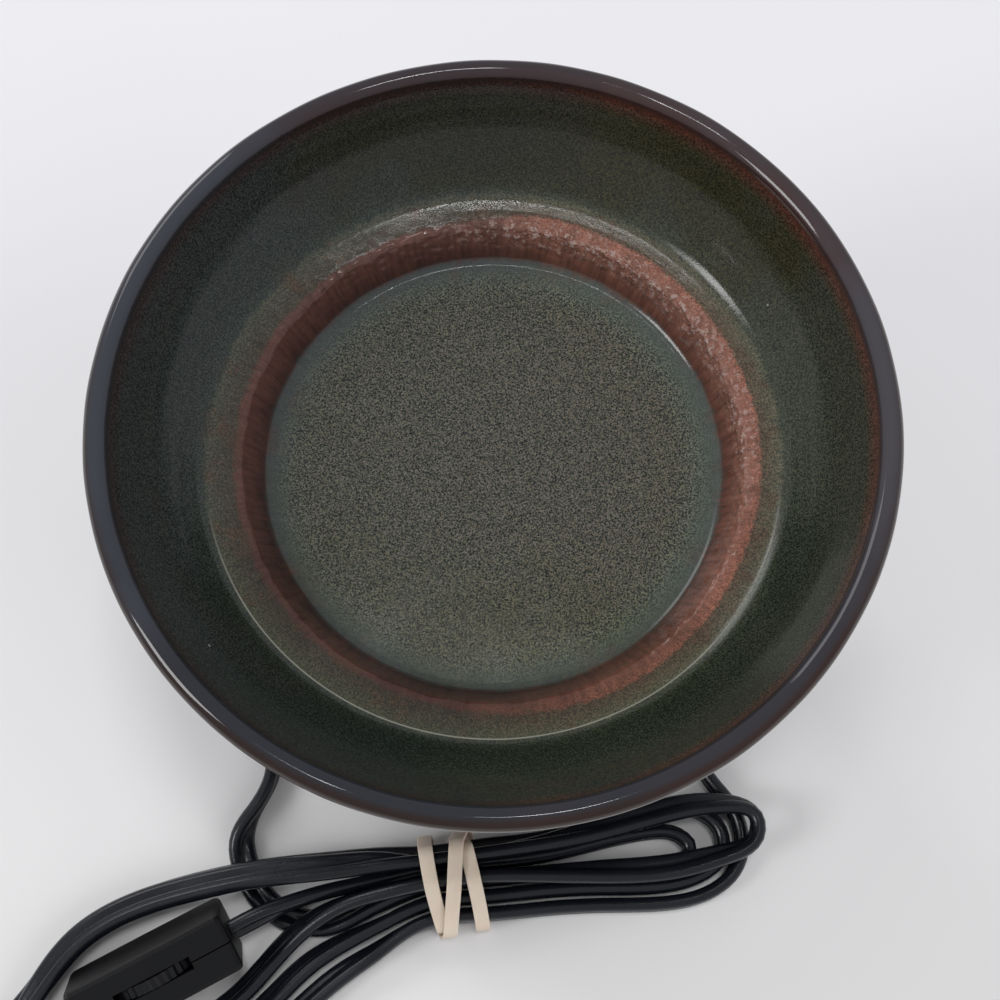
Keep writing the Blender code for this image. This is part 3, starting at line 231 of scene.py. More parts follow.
RIGHT_LOBE = (
    ((12, -67.6, 11.8, 20), (0, -3.2, -7.0, -20)),
    ((25.3, -66.8, 10.6, 48), (0, -3.0, -7.0, -48)),
    ((42, -65.3, 10.0, 62), (-4, -4.0, -6.6, -62)),
    ((54, -62.3, 10.2, 35), (-6, -4.7, -6.8, -35)),
    ((61.0, -58.2, 10.5, 8), (-7.4, -4.1, -7.1, -8)),
    ((61.0, -53.6, 10.5, -8), (-7.6, -2.3, -7.1, 8)),
    ((53.5, -51.0, 10.3, -35), (-5.5, -0.8, -6.9, 35)),
    ((38, -53.3, 10.2, -62), (0, 1.7, -6.8, 62)),
    ((25.2, -57.2, 11.0, -50), (0.3, 2.3, -7.3, 50)),
    ((12, -60.8, 12.3, -20), (1, 2.2, -7.5, 20)),
)
LEFT_LOBE = (
    ((-24, -65.6, 13.0, -35), (0, 2.4, -6.7, 35)),
    ((-34, -66.6, 12.9, -60), (0, 2.4, -6.0, 60)),
    ((-53.1, -68.9, 12.9, -72), (0, 2.2, -5.4, 72)),
    ((-65.7, -71.5, 11.6, -72), (-0.3, 2.1, -5.2, 72)),
    ((-82.3, -76.8, 9.6, -72), (-0.7, 1.9, -5.8, 72)),
    ((-92.6, -83.6, 9.1, -70), (-1.6, 1.4, -5.7, 70)),
    ((-101.1, -95.8, 8.9, -55), (-2.1, 1.2, -5.5, 55)),
    ((-106.0, -105.5, 7.6, -30), (-4.3, 1.0, -4.2, 30)),
    ((-107.6, -116, 5.5, 0), (-5.7, -1.0, -2.1, 0)),
    ((-103.5, -127, 4.0, 0), (-5.0, -3.5, -0.6, 0)),
    ((-94.5, -132.8, 3.4, 0), (-1.5, -5.8, 0, 0)),
    ((-85, -131, 3.4, 0), (2.0, -5.6, 0, 0)),
    ((-76, -122.8, 3.4, 15), (4.0, -4.2, 0, -5)),
    ((-62, -108, 3.2, 42), (5.4, -3.0, 0, 0)),
    ((-48.1, -94.8, 3.2, 42), (7.5, -1.2, 0, 0)),
    ((-40.7, -87.6, 3.2, 40), (7.7, -2.0, 0, 0)),
    ((-31.4, -82.0, 3.7, 22), (6.1, -2.6, -0.1, 0)),
    ((-22.5, -77.8, 5.2, 5), (4.0, -2.4, 0, 0)),
)


def lobe(stations, loop):
    """Stations of one lobe, each moved from the first loop by its step for every loop since."""
    return [tuple(p + loop * s for p, s in zip(place, step)) for place, step in stations]


def loop_strand(loop, going_left):
    """Strand number at the waist: loops open outwards from the first one."""
    if going_left:
        return 0.7 - 0.7 * loop
    return 2 + loop


hank_stations = [switch_end(-1, GAP), switch_end(-1, STRAIGHT), (-98.6, -106.7, 10.3, 0),
                 (-97.9, -112.4, 7.6, 0), (-92.5, -115.6, 5.2, 0), (-85, -114.3, 3.9, 25),
                 (-75, -108.5, 3.2, 35), (-65.4, -101.6, 3.2, 42), (-56.6, -95.0, 3.3, 42),
                 (-48.9, -86.8, 5.0, 42), (-41.7, -79.8, 7.4, 38), (-31.5, -74.4, 10.3, 14),
                 (-22.5, -72.1, 12.2, 5)]
for loop in range(LOOPS):
    height = HIGH_Z + loop * (LOW_Z - HIGH_Z)
    hank_stations += waist(loop_strand(loop, False), height)
    hank_stations += lobe(RIGHT_LOBE, loop)
    hank_stations += waist(loop_strand(loop, True), height, -1)
    hank_stations += lobe(LEFT_LOBE, loop)
tail_out = [(12, -74.8, 4.7, 0), (26, -73.7, 3.5, 0), (40, -73.1, 3.4, 0), (50.6, -70.5, 3.4, 0),
            (57.2, -64.7, 3.4, 0), (58.6, -57.5, 3.4, 0), (55.9, -50.0, 3.4, 0),
            (51.0, -43.8, 3.4, 0), (48.6, -36.0, 3.4, 0), (49.6, -27.0, 3.4, 0)]
hank_stations += waist(4, LOW_Z) + tail_out
tail_stations = [(53.6, -17, 3.4, 0), (59, -6, 3.4, 0), (62, 6, 3.4, 0),
                 (62.5, 16, 4.6, 20), (62.5, 24, 6.4, 60),
                 (PLUG_AT[0], PLUG_AT[1] - GAP, PLUG_AT[2], 90)]


def smooth_line(stations, spacing=1.0):
    """Fine points of the natural cubic spline through stations (place and lean)."""
    p = np.array(stations, float)
    span = np.linalg.norm(np.diff(p[:, :3], axis=0), axis=1)
    last = len(p) - 1
    rows = np.zeros((len(p), len(p)))
    right = np.zeros(p.shape)
    rows[0, 0] = 1
    rows[last, last] = 1
    for i in range(1, last):
        rows[i, i - 1:i + 2] = span[i - 1], 2 * (span[i - 1] + span[i]), span[i]
        right[i] = 6 * ((p[i + 1] - p[i]) / span[i] - (p[i] - p[i - 1]) / span[i - 1])
    bend = np.linalg.solve(rows, right)
    line = []
    for i, h in enumerate(span):
        for b in np.arange(0, h, spacing):
            a = h - b
            line.append((bend[i] * a ** 3 + bend[i + 1] * b ** 3) / (6 * h)
                        + (p[i] / h - bend[i] * h / 6) * a
                        + (p[i + 1] / h - bend[i + 1] * h / 6) * b)
    line.append(p[-1])
    return np.array(line)


def settled(line):
    """The same line, raised where the lead would come nearer the table than TABLE_GAP."""
    line = line.copy()
    edge = LEAD_THICK / 2 + (LEAD_WIDE - LEAD_THICK) / 2 * np.abs(np.cos(np.radians(line[:, 3])))
    line[:, 2] = np.maximum(line[:, 2], edge + TABLE_GAP)
    return line


def run_of(line):
    """Length along a line at each of its points."""
    steps = np.linalg.norm(np.diff(np.array(line)[:, :3], axis=0), axis=1)
    return np.concatenate(([0], np.cumsum(steps)))


def stretch(line, first, last):
    """Part of a line between two lengths along it, evenly spaced."""
    run = run_of(line)
    wanted = np.linspace(first, last, ceil((last - first) / LEAD_STEP) + 1)
    return np.stack([np.interp(wanted, run, line[:, k]) for k in range(line.shape[1])], axis=1)


def smoothed(mesh, crease):
    """Smooth shading, but for edges sharper than an angle in degrees."""
    mesh.polygons.foreach_set("use_smooth", [True] * len(mesh.polygons))
    mesh.set_sharp_from_angle(angle=radians(crease))


def piece(name, mesh, body, material, node):
    """Object of a finished mesh that rides on a body and stands for a CAD node."""
    made = bpy.data.objects.new(name, mesh)
    bpy.context.collection.objects.link(made)
    mesh.materials.clear()
    mesh.materials.append(material)
    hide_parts(node)
    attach(made, body)
    return made


vinyl, tree, shader, coords = new_material("lead_vinyl", "#0f1014", 0.26, Specular_IOR_Level=0.55)
# Extruded vinyl has a faint drawn grain, a little bloom and dust
grain = add_node(tree, "TexNoise", {"Vector": coords}, in_Scale=1800.0, in_Detail=2.0,
                 in_Roughness=0.6)
bloom = add_node(tree, "TexNoise", {"Vector": coords}, in_Scale=90.0, in_Detail=4.0,
                 in_Roughness=0.6)
shine = add_node(tree, "MapRange", {"Value": bloom}, in_From_Min=0.3, in_From_Max=0.7,
                 in_To_Min=0.2, in_To_Max=0.32)
hue = add_node(tree, "Mix", {"Factor": bloom}, in_6=srgb("#0b0c11"), in_7=srgb("#161a22"))
bump = add_node(tree, "Bump", {"Height": grain}, in_Strength=0.12, in_Distance=0.0003)
feed(shader, {"Base Color": hue, "Roughness": shine, "Normal": bump})


def lead_section():
    """Closed section of the flex: two round ridges with a groove on each flat side."""
    ring = []
    for side in (1, -1):
        for k in range(13):
            a = radians(-135 + 22.5 * k)
            y = side * ((LEAD_WIDE - LEAD_THICK) / 2 + LEAD_THICK / 2 * cos(a))
            ring.append((side * LEAD_THICK / 2 * sin(a), y))
        ring.append((side * GROOVE, 0))
    return ring


def flat_flex(name, line, node, **facts):
    """The flex along a line in mm: its section drawn along a curve, then made a mesh."""
    section = bpy.data.curves.new(name + "_section", "CURVE")
    section.dimensions = "2D"
    ring = lead_section()
    outline = section.splines.new("POLY")
    outline.points.add(len(ring) - 1)
    for point, (x, y) in zip(outline.points, ring):
        point.co = (x * MM, y * MM, 0, 1)
    outline.use_cyclic_u = True
    section_object = bpy.data.objects.new(name + "_section", section)
    bpy.context.collection.objects.link(section_object)
    data = bpy.data.curves.new(name, "CURVE")
    data.dimensions = "3D"
    data.twist_mode = "Z_UP"
    data.bevel_mode = "OBJECT"
    data.bevel_object = section_object
    data.use_fill_caps = True
    data.resolution_u = 1
    spline = data.splines.new("POLY")
    spline.points.add(len(line) - 1)
    for point, spot in zip(spline.points, line):
        point.co = (*(spot[:3] * MM), 1)
        point.tilt = radians(spot[3])
    curve = bpy.data.objects.new(name + "_route", data)
    bpy.context.collection.objects.link(curve)
    graph = bpy.context.evaluated_depsgraph_get()
    mesh = bpy.data.meshes.new_from_object(curve.evaluated_get(graph))
    mesh.name = name
    for spent in (curve, section_object):
        bpy.data.objects.remove(spent, do_unlink=True)
    bm = bmesh.new()
    bm.from_mesh(mesh)
    bmesh.ops.remove_doubles(bm, verts=bm.verts, dist=1e-6)
    bmesh.ops.recalc_face_normals(bm, faces=bm.faces)
    bm.to_mesh(mesh)
    bm.free()
    smoothed(mesh, 60)
    made = piece(name, mesh, "warmer", vinyl, node)


feed_line = settled(smooth_line(feed_stations))
feed_line = stretch(feed_line, 0, run_of(feed_line)[-1])
whole = settled(smooth_line(hank_stations + tail_stations))
run = run_of(whole)
parting = run[len(run) - 1 - np.argmax(whole[::-1, 1] < BREAK_Y)]
hank_line = stretch(whole, 0, parting)
tail_line = stretch(whole, parting, run[-1])
flat_flex("lead_to_switch", feed_line, "cord_feed", far_end="fitting", lay="loose",
          with_pieces=["switch_case_front", "switch_case_back"])
flat_flex("lead_hank", hank_line, "cord_hank", far_end="bare", lay="coiled")
flat_flex("lead_tail", tail_line, "cord_tail", far_end="plug", lay="loose",
          with_pieces=["plug_body"])


# Rubber band: one moulded band of natural rubber, stretched in three crossing turns round the
# bundle's waist. It is soft, matt and a little translucent.
BAND_W = 3.3
BAND_T = 0.8
BAND_EDGE = 0.25
BAND_TURNS = 3
TURN_STEPS = 150
BAND_SPREAD = 5.5
BAND_WEAVE = 0.75
BAND_OFF = 1.55
RIDGE = (LEAD_WIDE - LEAD_THICK) / 2
WIDEST = 2 * STRAND_STEP
TOP_RIGHT = (2 - loop_strand(0, True)) * STRAND_STEP
bundle = [(-WIDEST, LOW_Z - RIDGE), (WIDEST, LOW_Z - RIDGE), (WIDEST, LOW_Z + RIDGE),
          (TOP_RIGHT, HIGH_Z + RIDGE), (0, HIGH_Z + RIDGE), (-WIDEST, LOW_Z + RIDGE)]


def around(corners, off, share):
    """Point at a share of the way round the convex corners, grown outwards by off, and its
    outward direction."""
    parts = []
    for i, corner in enumerate(corners):
        here = Vector(corner)
        side_in = (here - Vector(corners[i - 1])).normalized()
        way = Vector(corners[(i + 1) % len(corners)]) - here
        side_out = way.normalized()
        first = atan2(-side_in.x, side_in.y)
        sweep = (atan2(-side_out.x, side_out.y) - first) % (2 * pi)
        parts.append((here, None, first, sweep, sweep * off))
        parts.append((here, side_out, 0, 0, way.length))
    left = share % 1.0 * sum(part[4] for part in parts)
    for here, way, first, sweep, size in parts:
        if left <= size:
            break
        left -= size
    if way is None:
        angle = first + sweep * left / size
        out = Vector((cos(angle), sin(angle)))
        return here + out * off, out
    out = Vector((way.y, -way.x))
    return here + way * left + out * off, out


def swept(name, spots, outwards, section):
    """Closed ring of a section of (side, out) carried along spots, all in mm."""
    bm = bmesh.new()
    rings = []
    for k, (spot, out) in enumerate(zip(spots, outwards)):
        run_way = (spots[(k + 1) % len(spots)] - spots[k - 1]).normalized()
        side = run_way.cross(out).normalized()
        up = side.cross(run_way)
        rings.append([bm.verts.new((spot + side * s + up * u) * MM) for s, u in section])
    for one, two in zip(rings, rings[1:] + rings[:1]):
        for j in range(len(section)):
            j2 = (j + 1) % len(section)
            bm.faces.new((one[j], one[j2], two[j2], two[j]))
    bmesh.ops.recalc_face_normals(bm, faces=bm.faces)
    mesh = bpy.data.meshes.new(name)
    bm.to_mesh(mesh)
    bm.free()
    smoothed(mesh, 50)
    return mesh


def rounded(corners, closed=True, step=10.0):
    """Outline through corners (x, y, radius), with an arc of that radius at each rounded one."""
    points = []
    for i, (x, y, radius) in enumerate(corners):
        here = Vector((x, y))
        if radius == 0 or not (closed or 0 < i < len(corners) - 1):
            points.append(tuple(here))
            continue
        back = (Vector(corners[i - 1][:2]) - here).normalized()
        onward = (Vector(corners[(i + 1) % len(corners)][:2]) - here).normalized()
        half = acos(max(-1.0, min(1.0, back.dot(onward)))) / 2
        centre = here + (back + onward).normalized() * radius / sin(half)
        start = here + back * radius / tan(half) - centre
        end = here + onward * radius / tan(half) - centre
        first = atan2(start.y, start.x)
        sweep = (atan2(end.y, end.x) - first + pi) % (2 * pi) - pi
        count = max(1, ceil(abs(degrees(sweep)) / step))
        for k in range(count + 1):
            angle = first + sweep * k / count
            points.append((centre.x + radius * cos(angle), centre.y + radius * sin(angle)))
    return points


latex, tree, shader, coords = new_material("natural_rubber", "#dccdb6", 0.62,
                                           Subsurface_Weight=0.15, Subsurface_Scale=0.002)
dusting = add_node(tree, "TexNoise", {"Vector": coords}, in_Scale=220.0, in_Detail=5.0,
                   in_Roughness=0.65)
hue = add_node(tree, "Mix", {"Factor": dusting}, in_6=srgb("#e0cdb8"), in_7=srgb("#f3e4d4"))
bump = add_node(tree, "Bump", {"Height": dusting}, in_Strength=0.25, in_Distance=0.0003)
feed(shader, {"Base Color": hue, "Normal": bump})
angle = radians(WAIST_ANGLE)
along = Vector((cos(angle), sin(angle), 0))
across = Vector((-along.y, along.x, 0))
middle = Vector((*WAIST_AT, 0))
count = TURN_STEPS * BAND_TURNS
spots = []
outwards = []
for k in range(count):
    phase = 2 * pi * k / count
    off = LEAD_THICK / 2 + BAND_OFF + BAND_WEAVE * sin(phase)
    spot, out = around(bundle, off, BAND_TURNS * k / count)
    spots.append(middle + across * spot.x + Vector((0, 0, spot.y))
                 + along * BAND_SPREAD * cos(phase))
    outwards.append(across * out.x + Vector((0, 0, out.y)))
half_w = BAND_W / 2
half_t = BAND_T / 2
band_section = rounded([(-half_w, -half_t, BAND_EDGE), (half_w, -half_t, BAND_EDGE),
                        (half_w, half_t, BAND_EDGE), (-half_w, half_t, BAND_EDGE)], step=30)
band_mesh = swept("band", spots, outwards, band_section)
piece("band", band_mesh, "warmer", latex, "rubber_band")


# Switch: two moulded half cases with a fine spark-eroded grain, screwed together over a toothed
# thumbwheel, a steel pin and two brass springs.
def dress(material, slot, *names, bevel=0.0):
    """CAD nodes shown as they are, with their edges broken and their material."""
    for name in names:
        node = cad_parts[name]
        node.data.materials.clear()
        node.data.materials.append(material)
        if bevel:
            edges = node.modifiers.new("Broken edges", "BEVEL")
            edges.width = bevel * MM
            edges.segments = 3
            edges.limit_method = "ANGLE"
            edges.angle_limit = radians(40)
            edges.harden_normals = True


def moulded(name, base, roughness, grain_size, depth, **sockets):
    """Material with an even colour and a fine grain from its mould or die, of a size and depth
    in mm."""
    made, tree, shader, coords = new_material(name, base, roughness, **sockets)
    grain = add_node(tree, "TexNoise", {"Vector": coords}, in_Scale=1 / (grain_size * MM),
                     in_Detail=3.0, in_Roughness=0.6)
    bump = add_node(tree, "Bump", {"Height": grain}, in_Strength=0.4, in_Distance=depth * MM)
    feed(shader, {"Normal": bump})
    return made


case_plastic = moulded("switch_plastic", "#0b0c0e", 0.5, 0.25, 0.02, Specular_IOR_Level=0.32)
wheel_plastic = moulded("wheel_plastic", "#141518", 0.4, 0.3, 0.02, Specular_IOR_Level=0.35)
steel = moulded("zinc_steel", "#b2b5ba", 0.3, 0.4, 0.02, Metallic=1.0)
brass = moulded("brass", "#c8a860", 0.28, 0.4, 0.02, Metallic=1.0)
dress(case_plastic, "switch_plastic", "switch_case_front", "switch_case_back", bevel=0.35)
dress(wheel_plastic, "wheel_plastic", "switch_wheel", bevel=0.12)
dress(steel, "zinc_steel", "wheel_pin", "switch_screw_1", "switch_screw_2", bevel=0.1)
dress(brass, "brass", "switch_contact_1", "switch_contact_2", bevel=0.08)

# Plug: black vinyl moulded over the lead's end and two flat brass blades, one wider than the
# other. Its neck is narrow towards the lead.
plug_vinyl = moulded("plug_vinyl", "#1e1f23", 0.42, 0.3, 0.03)
dress(plug_vinyl, "plug_vinyl", "plug_body", bevel=0.5)
dress(brass, "brass", "plug_blade_narrow", "plug_blade_wide", bevel=0.15)

# Strain relief: a soft vinyl sleeve moulded on the lead where it leaves the body. It tapers
# outwards, and its flange sits in the wider end of the body's hole.
SEAT_Y = 49.0
SLEEVE_START_Y = SEAT_Y - 9.0
SLEEVE_R = 4.7
FLANGE_R = 6.5
FLANGE_T = 1.9


def spun(name, outline, segments, turn=None, at=(0, 0, 0), crease=40.0):
    """Mesh of an outline of (radius, height) spun round the Z axis, in mm; each point keeps its
    length along the outline as the attribute run."""
    bm = bmesh.new()
    layer = bm.verts.layers.float.new("run")
    verts = []
    for (r, z), passed in zip(outline, run_of(outline)):
        verts.append(bm.verts.new((r * MM, 0, z * MM)))
        verts[-1][layer] = passed
    edges = [bm.edges.new(pair) for pair in zip(verts, verts[1:])]
    if outline[0][0] > 0:
        edges.append(bm.edges.new((verts[-1], verts[0])))
    bmesh.ops.spin(bm, geom=verts + edges, cent=(0, 0, 0), axis=(0, 0, 1), angle=2 * pi,
                   steps=segments, use_merge=True, use_duplicate=False)
    bmesh.ops.remove_doubles(bm, verts=bm.verts, dist=1e-7)
    bmesh.ops.recalc_face_normals(bm, faces=bm.faces)
    if turn:
        bmesh.ops.transform(bm, matrix=turn, verts=bm.verts)
    bmesh.ops.translate(bm, vec=[v * MM for v in at], verts=bm.verts)
    mesh = bpy.data.meshes.new(name)
    bm.to_mesh(mesh)
    bm.free()
    smoothed(mesh, crease)
    return mesh


flange_end = SEAT_Y + FLANGE_T
sleeve = rounded([(0, SLEEVE_START_Y, 0), (SLEEVE_R, SLEEVE_START_Y, 0.3),
                  (SLEEVE_R, SEAT_Y + GAP, 0), (FLANGE_R, SEAT_Y + GAP, 0.1),
                  (FLANGE_R, flange_end, 0.5), (SLEEVE_R, flange_end, 0.4),
                  (SLEEVE_R - 0.3, SEAT_Y + 10, 20), (SLEEVE_R - 0.75, SLEEVE_END_Y, 0.8),
                  (0, SLEEVE_END_Y, 0)], closed=False)
sleeve_mesh = spun("sleeve", sleeve, 64, Matrix.Rotation(radians(-90), 4, "X"), (0, 0, LEAD_Z))
piece("sleeve", sleeve_mesh, "warmer", plug_vinyl, "strain_relief")

# Dish: thick slip-cast stoneware with a reactive glaze. The glaze ran off the wall and pooled in
# the floor, so it is dark on the wall, slate on the lip, mottled olive on the shelf and speckled
# in the floor, and it curdled into a red-brown craggy ring on the step between the two.
RIM_TOP = 126.0
BEAD_R = 2.22
BEAD_AT = 69.8
FLOOR_R = 43.2
STEP_R = 47.0
SHELF_R = 53.9
FLAT_R = 41.0
SPIGOT_R = 48.9
SHOULDER_R = 57.6
FLOOR_DEPTH = 28.3
STEP_DEPTH = 21.4
SHELF_DEPTH = 20.2
WAVES = 0.1
RINGS = 0.012
CRAGS = 0.6
PEEL = 0.02
DISH_THICK = 4.5
DISH_SEGMENTS = 480
floor_z = RIM_TOP - FLOOR_DEPTH
shelf_z = RIM_TOP - SHELF_DEPTH
shoulder_z = shelf_z - DISH_THICK
under_z = floor_z - DISH_THICK
bead_z = RIM_TOP - BEAD_R
dish_inside = rounded([(0, floor_z, 0), (FLOOR_R, floor_z, 2.2),
                       (STEP_R, RIM_TOP - STEP_DEPTH, 1.6), (SHELF_R, shelf_z, 6.0),
                       (SHELF_R + 8.1, RIM_TOP - 12.0, 28.0), (BEAD_AT - BEAD_R, bead_z, 0)],
                      closed=False, step=4)
bead = [(BEAD_AT + BEAD_R * cos(radians(a)), bead_z + BEAD_R * sin(radians(a)))
        for a in range(150, -41, -10)]
dish_outside = rounded([(BEAD_AT + 0.9, RIM_TOP - 5.2, 0), (65.6, RIM_TOP - 14.7, 20.0),
                        (SHOULDER_R, shoulder_z, 2.0), (SPIGOT_R + 1.7, shoulder_z, 0.8),
                        (SPIGOT_R, under_z, 1.5), (0, under_z, 0)], closed=False, step=6)


def finer(outline, step_at):
    """Outline with every side cut into steps no longer than step_at says for its start."""
    points = [outline[0]]
    for (x, y), (x2, y2) in zip(outline, outline[1:]):
        parts_of = ceil((Vector((x2, y2)) - Vector((x, y))).length / step_at(x, y))
        for k in range(1, parts_of + 1):
            points.append((x + (x2 - x) * k / parts_of, y + (y2 - y) * k / parts_of))
    return points


def glaze_step(r, z):
    """Longest step along the dish's section: fine on the craggy ring, coarse underneath."""
    if z < shoulder_z + 1 and (r < FLAT_R or z < floor_z - 1):
        return 6.0
    if r < FLAT_R:
        return 3.0
    if r < SHELF_R + 1 and z < RIM_TOP - 15:
        return 0.42
    if z > RIM_TOP - 6:
        return 0.6
    return 1.0


dish_outline = finer(dish_inside + bead + dish_outside, glaze_step)
dish_mesh = spun("dish", dish_outline, DISH_SEGMENTS)
runs = run_of(dish_outline)
top_index = max(range(len(dish_outline)), key=lambda k: dish_outline[k][1])


def run_at(radius):
    """Length along the section where the inside reaches a radius."""
    for k in range(1, top_index + 1):
        (r1, _), (r2, _) = dish_outline[k - 1:k + 1]
        if r2 >= radius:
            return runs[k - 1] + (runs[k] - runs[k - 1]) * (radius - r1) / max(r2 - r1, 1e-6)
    return runs[top_index]


FLOOR_END = run_at(FLOOR_R - 1.6)
STEP_END = run_at(STEP_R)
SHELF_END = run_at(SHELF_R - 0.3)
LIP_TOP = runs[top_index]
LIP_IN = LIP_TOP - 2.1
LIP_OUT = LIP_TOP + 1.3
UNDER = LIP_TOP + 34.0
run_layer = dish_mesh.attributes["run"].data
dish_mesh.update()
normals = [n.vector.copy() for n in dish_mesh.vertex_normals]
# Slight waves all over, throwing rings on the wall, crags on the step, orange peel on the shelf
for vertex, entry, normal in zip(dish_mesh.vertices, run_layer, normals):
    at = entry.value
    if at > UNDER or at < 0.001:
        continue
    spot = vertex.co / MM
    lift = WAVES * noise.noise(spot * 0.09)
    if at > SHELF_END:
        lift += RINGS * sin(at * 2.1 + 2.0 * noise.noise(spot * 0.02))
    edge = min((at - FLOOR_END - 2.6) / 2.5, (STEP_END + 2.0 - at) / 2.0)
    if edge > 0:
        crags = noise.turbulence(spot * 0.5, 3, True, noise_basis="VORONOI_F1")
        behind = min(max(0.5 + 0.5 * (spot.x + spot.y) / STEP_R, 0.25), 1.0)
        lift += min(edge, 1.0) * behind * (CRAGS * crags - 0.28 + 0.2 * noise.noise(spot * 0.9))
    elif STEP_END < at < SHELF_END:
        lift += PEEL * noise.noise(spot * 0.55)
    vertex.co += normal * lift * MM


def stops_along(*stops):
    """Ramp stops whose places are given in mm along the dish's section."""
    return [(at / UNDER, colour) for at, colour in stops]


def zones(*colours):
    """Ramp stops of one side's glaze: floor centre, floor, floor edge, foot of the step, ring
    foot, ring, ring crest, shelf, shelf edge, wall foot, wall, upper wall, rusty edge below the
    lip, lip inside darkened as painted shade, lip top, lip outside, outside."""
    places = (10.0, FLOOR_END - 7.0, FLOOR_END - 1.6, FLOOR_END + 1.5, FLOOR_END + 2.7,
              STEP_END - 2.4, STEP_END + 1.1, STEP_END + 1.7, SHELF_END - 0.2, SHELF_END + 0.3,
              SHELF_END + 5.0, LIP_IN - 4.5, LIP_IN - 1.6, LIP_IN - 0.5, LIP_IN + 0.3,
              LIP_OUT - 0.5, LIP_OUT + 0.9)
    return stops_along(*zip(places, colours))


glaze, tree, shader, coords = new_material("reactive_glaze", "#484a44", 0.3, IOR=1.5)
along_section = add_node(tree, "Attribute", attribute_name="run").outputs["Fac"]
blot = add_node(tree, "TexNoise", {"Vector": coords}, in_Scale=160.0, in_Detail=6.0,
                in_Roughness=0.65)
cloud = add_node(tree, "TexNoise", {"Vector": coords}, in_Scale=38.0, in_Detail=3.0,
                 in_Roughness=0.55)
# The grain is turned, so that no level face lies along the noise's own lattice
turned = add_node(tree, "VectorRotate", {"Vector": coords}, in_Axis=(1.0, 0.6, 0.3), in_Angle=0.7)
grains = add_node(tree, "TexNoise", {"Vector": turned}, in_Scale=3000.0, in_Detail=2.0,
                  in_Roughness=0.75)
split = add_node(tree, "SeparateXYZ", {0: coords})
level_part = add_node(tree, "CombineXYZ", {0: split.outputs["X"], 1: split.outputs["Y"]})
spoke = add_node(tree, "VectorMath", {0: level_part}, operation="NORMALIZE")
round_part = add_node(tree, "VectorMath", {0: spoke}, operation="SCALE", in_Scale=48.0)
run_part = add_node(tree, "Math", {0: along_section}, operation="MULTIPLY", in_1=0.16)
up_part = add_node(tree, "CombineXYZ", {2: run_part})
streak_at = add_node(tree, "VectorMath", {0: round_part, 1: up_part}, operation="ADD")
streaks = add_node(tree, "TexNoise", {"Vector": streak_at}, in_Scale=0.9, in_Detail=4.0,
                   in_Roughness=0.62)
wander = add_node(tree, "Math", {0: cloud}, operation="MULTIPLY_ADD", in_1=0.09, in_2=-0.045)
rightness = add_node(tree, "Math", {0: split.outputs["X"], 1: wander}, operation="ADD")
right_rust_and_light_share = add_node(tree, "MapRange", {"Value": rightness}, in_From_Min=-0.012,
                       in_From_Max=0.024, interpolation_type="SMOOTHSTEP")
frontness = add_node(tree, "Math", {0: wander, 1: split.outputs["Y"]}, operation="SUBTRACT")
front_share = add_node(tree, "MapRange", {"Value": frontness}, in_From_Min=0.004,
                       in_From_Max=0.045, interpolation_type="SMOOTHSTEP")
warp = add_node(tree, "Math", {0: blot, 1: streaks}, operation="ADD")
sway = add_node(tree, "MapRange", {"Value": along_section}, in_From_Min=SHELF_END + 3,
                in_From_Max=LIP_IN - 4, in_To_Min=2.4, in_To_Max=0.5)
centred = add_node(tree, "Math", {0: warp}, operation="SUBTRACT", in_1=1.0)
swayed = add_node(tree, "Math", {0: centred, 1: sway, 2: along_section}, operation="MULTIPLY_ADD")
# The rusty crust reaches further over the shelf on the right
even_along = add_node(tree, "Math", {0: along_section}, operation="DIVIDE", in_1=UNDER)
on_step = add_node(tree, "ValToRGB", {"Fac": even_along}, stops_along(
    (FLOOR_END + 3, "#000000"), (STEP_END, "#ffffff"), (STEP_END + 2.2, "#ffffff"),
    (SHELF_END - 0.4, "#000000")))
rust_side = add_node(tree, "Math", {0: on_step, 1: right_rust_and_light_share}, operation="MULTIPLY")
rusted = add_node(tree, "Math", {0: rust_side, 2: swayed}, operation="MULTIPLY_ADD", in_1=-1.9)
place_along = add_node(tree, "Math", {0: rusted}, operation="DIVIDE", in_1=UNDER)
# Two copies of the glaze's zones: the left one darker as painted shade, the right one lighter,
# partly its own rust and partly painted light
shaded_left_ramp = add_node(tree, "ValToRGB", {"Fac": place_along}, zones(
    "#444643", "#434641", "#434946", "#3f4545", "#432d29", "#593c36", "#5e403a", "#454038",
    "#454840", "#313836", "#2b3131", "#2b3032", "#2d2729", "#201e21", "#373a42", "#34363d",
    "#2c1f1b"))
lit_right_ramp = add_node(tree, "ValToRGB", {"Fac": place_along}, zones(
    "#464743", "#464741", "#49514b", "#4b514e", "#613f36", "#8c6052", "#8c5d4f", "#554a3e",
    "#515246", "#3a4037", "#353a32", "#353831", "#4e352f", "#322829", "#413e43", "#3e3b41",
    "#33261f"))
# Mix of the painted shaded left side and the painted lit right side
ground = add_node(tree, "Mix", {"Factor": right_rust_and_light_share, 6: shaded_left_ramp, 7: lit_right_ramp})
# The front of the floor and shelf turns yellow-green, the front of the wall deep green
front_tint = add_node(tree, "ValToRGB", {"Fac": even_along}, stops_along(
    (FLOOR_END, "#eef0dc"), (FLOOR_END + 3, "#c2bab6"), (STEP_END, "#c2bab6"),
    (SHELF_END, "#eeeedc"), (SHELF_END + 3, "#aabeb2"), (LIP_IN - 3, "#dfe5e0"),
    (LIP_IN, "#babcc0"), (LIP_TOP + 0.3, "#babcc0"), (LIP_TOP + 1.0, "#d09880"),
    (LIP_TOP + 5.0, "#ece2da")))
greened = add_node(tree, "Mix", {"Factor": front_share, 6: ground, 7: front_tint},
                   blend_type="MULTIPLY")
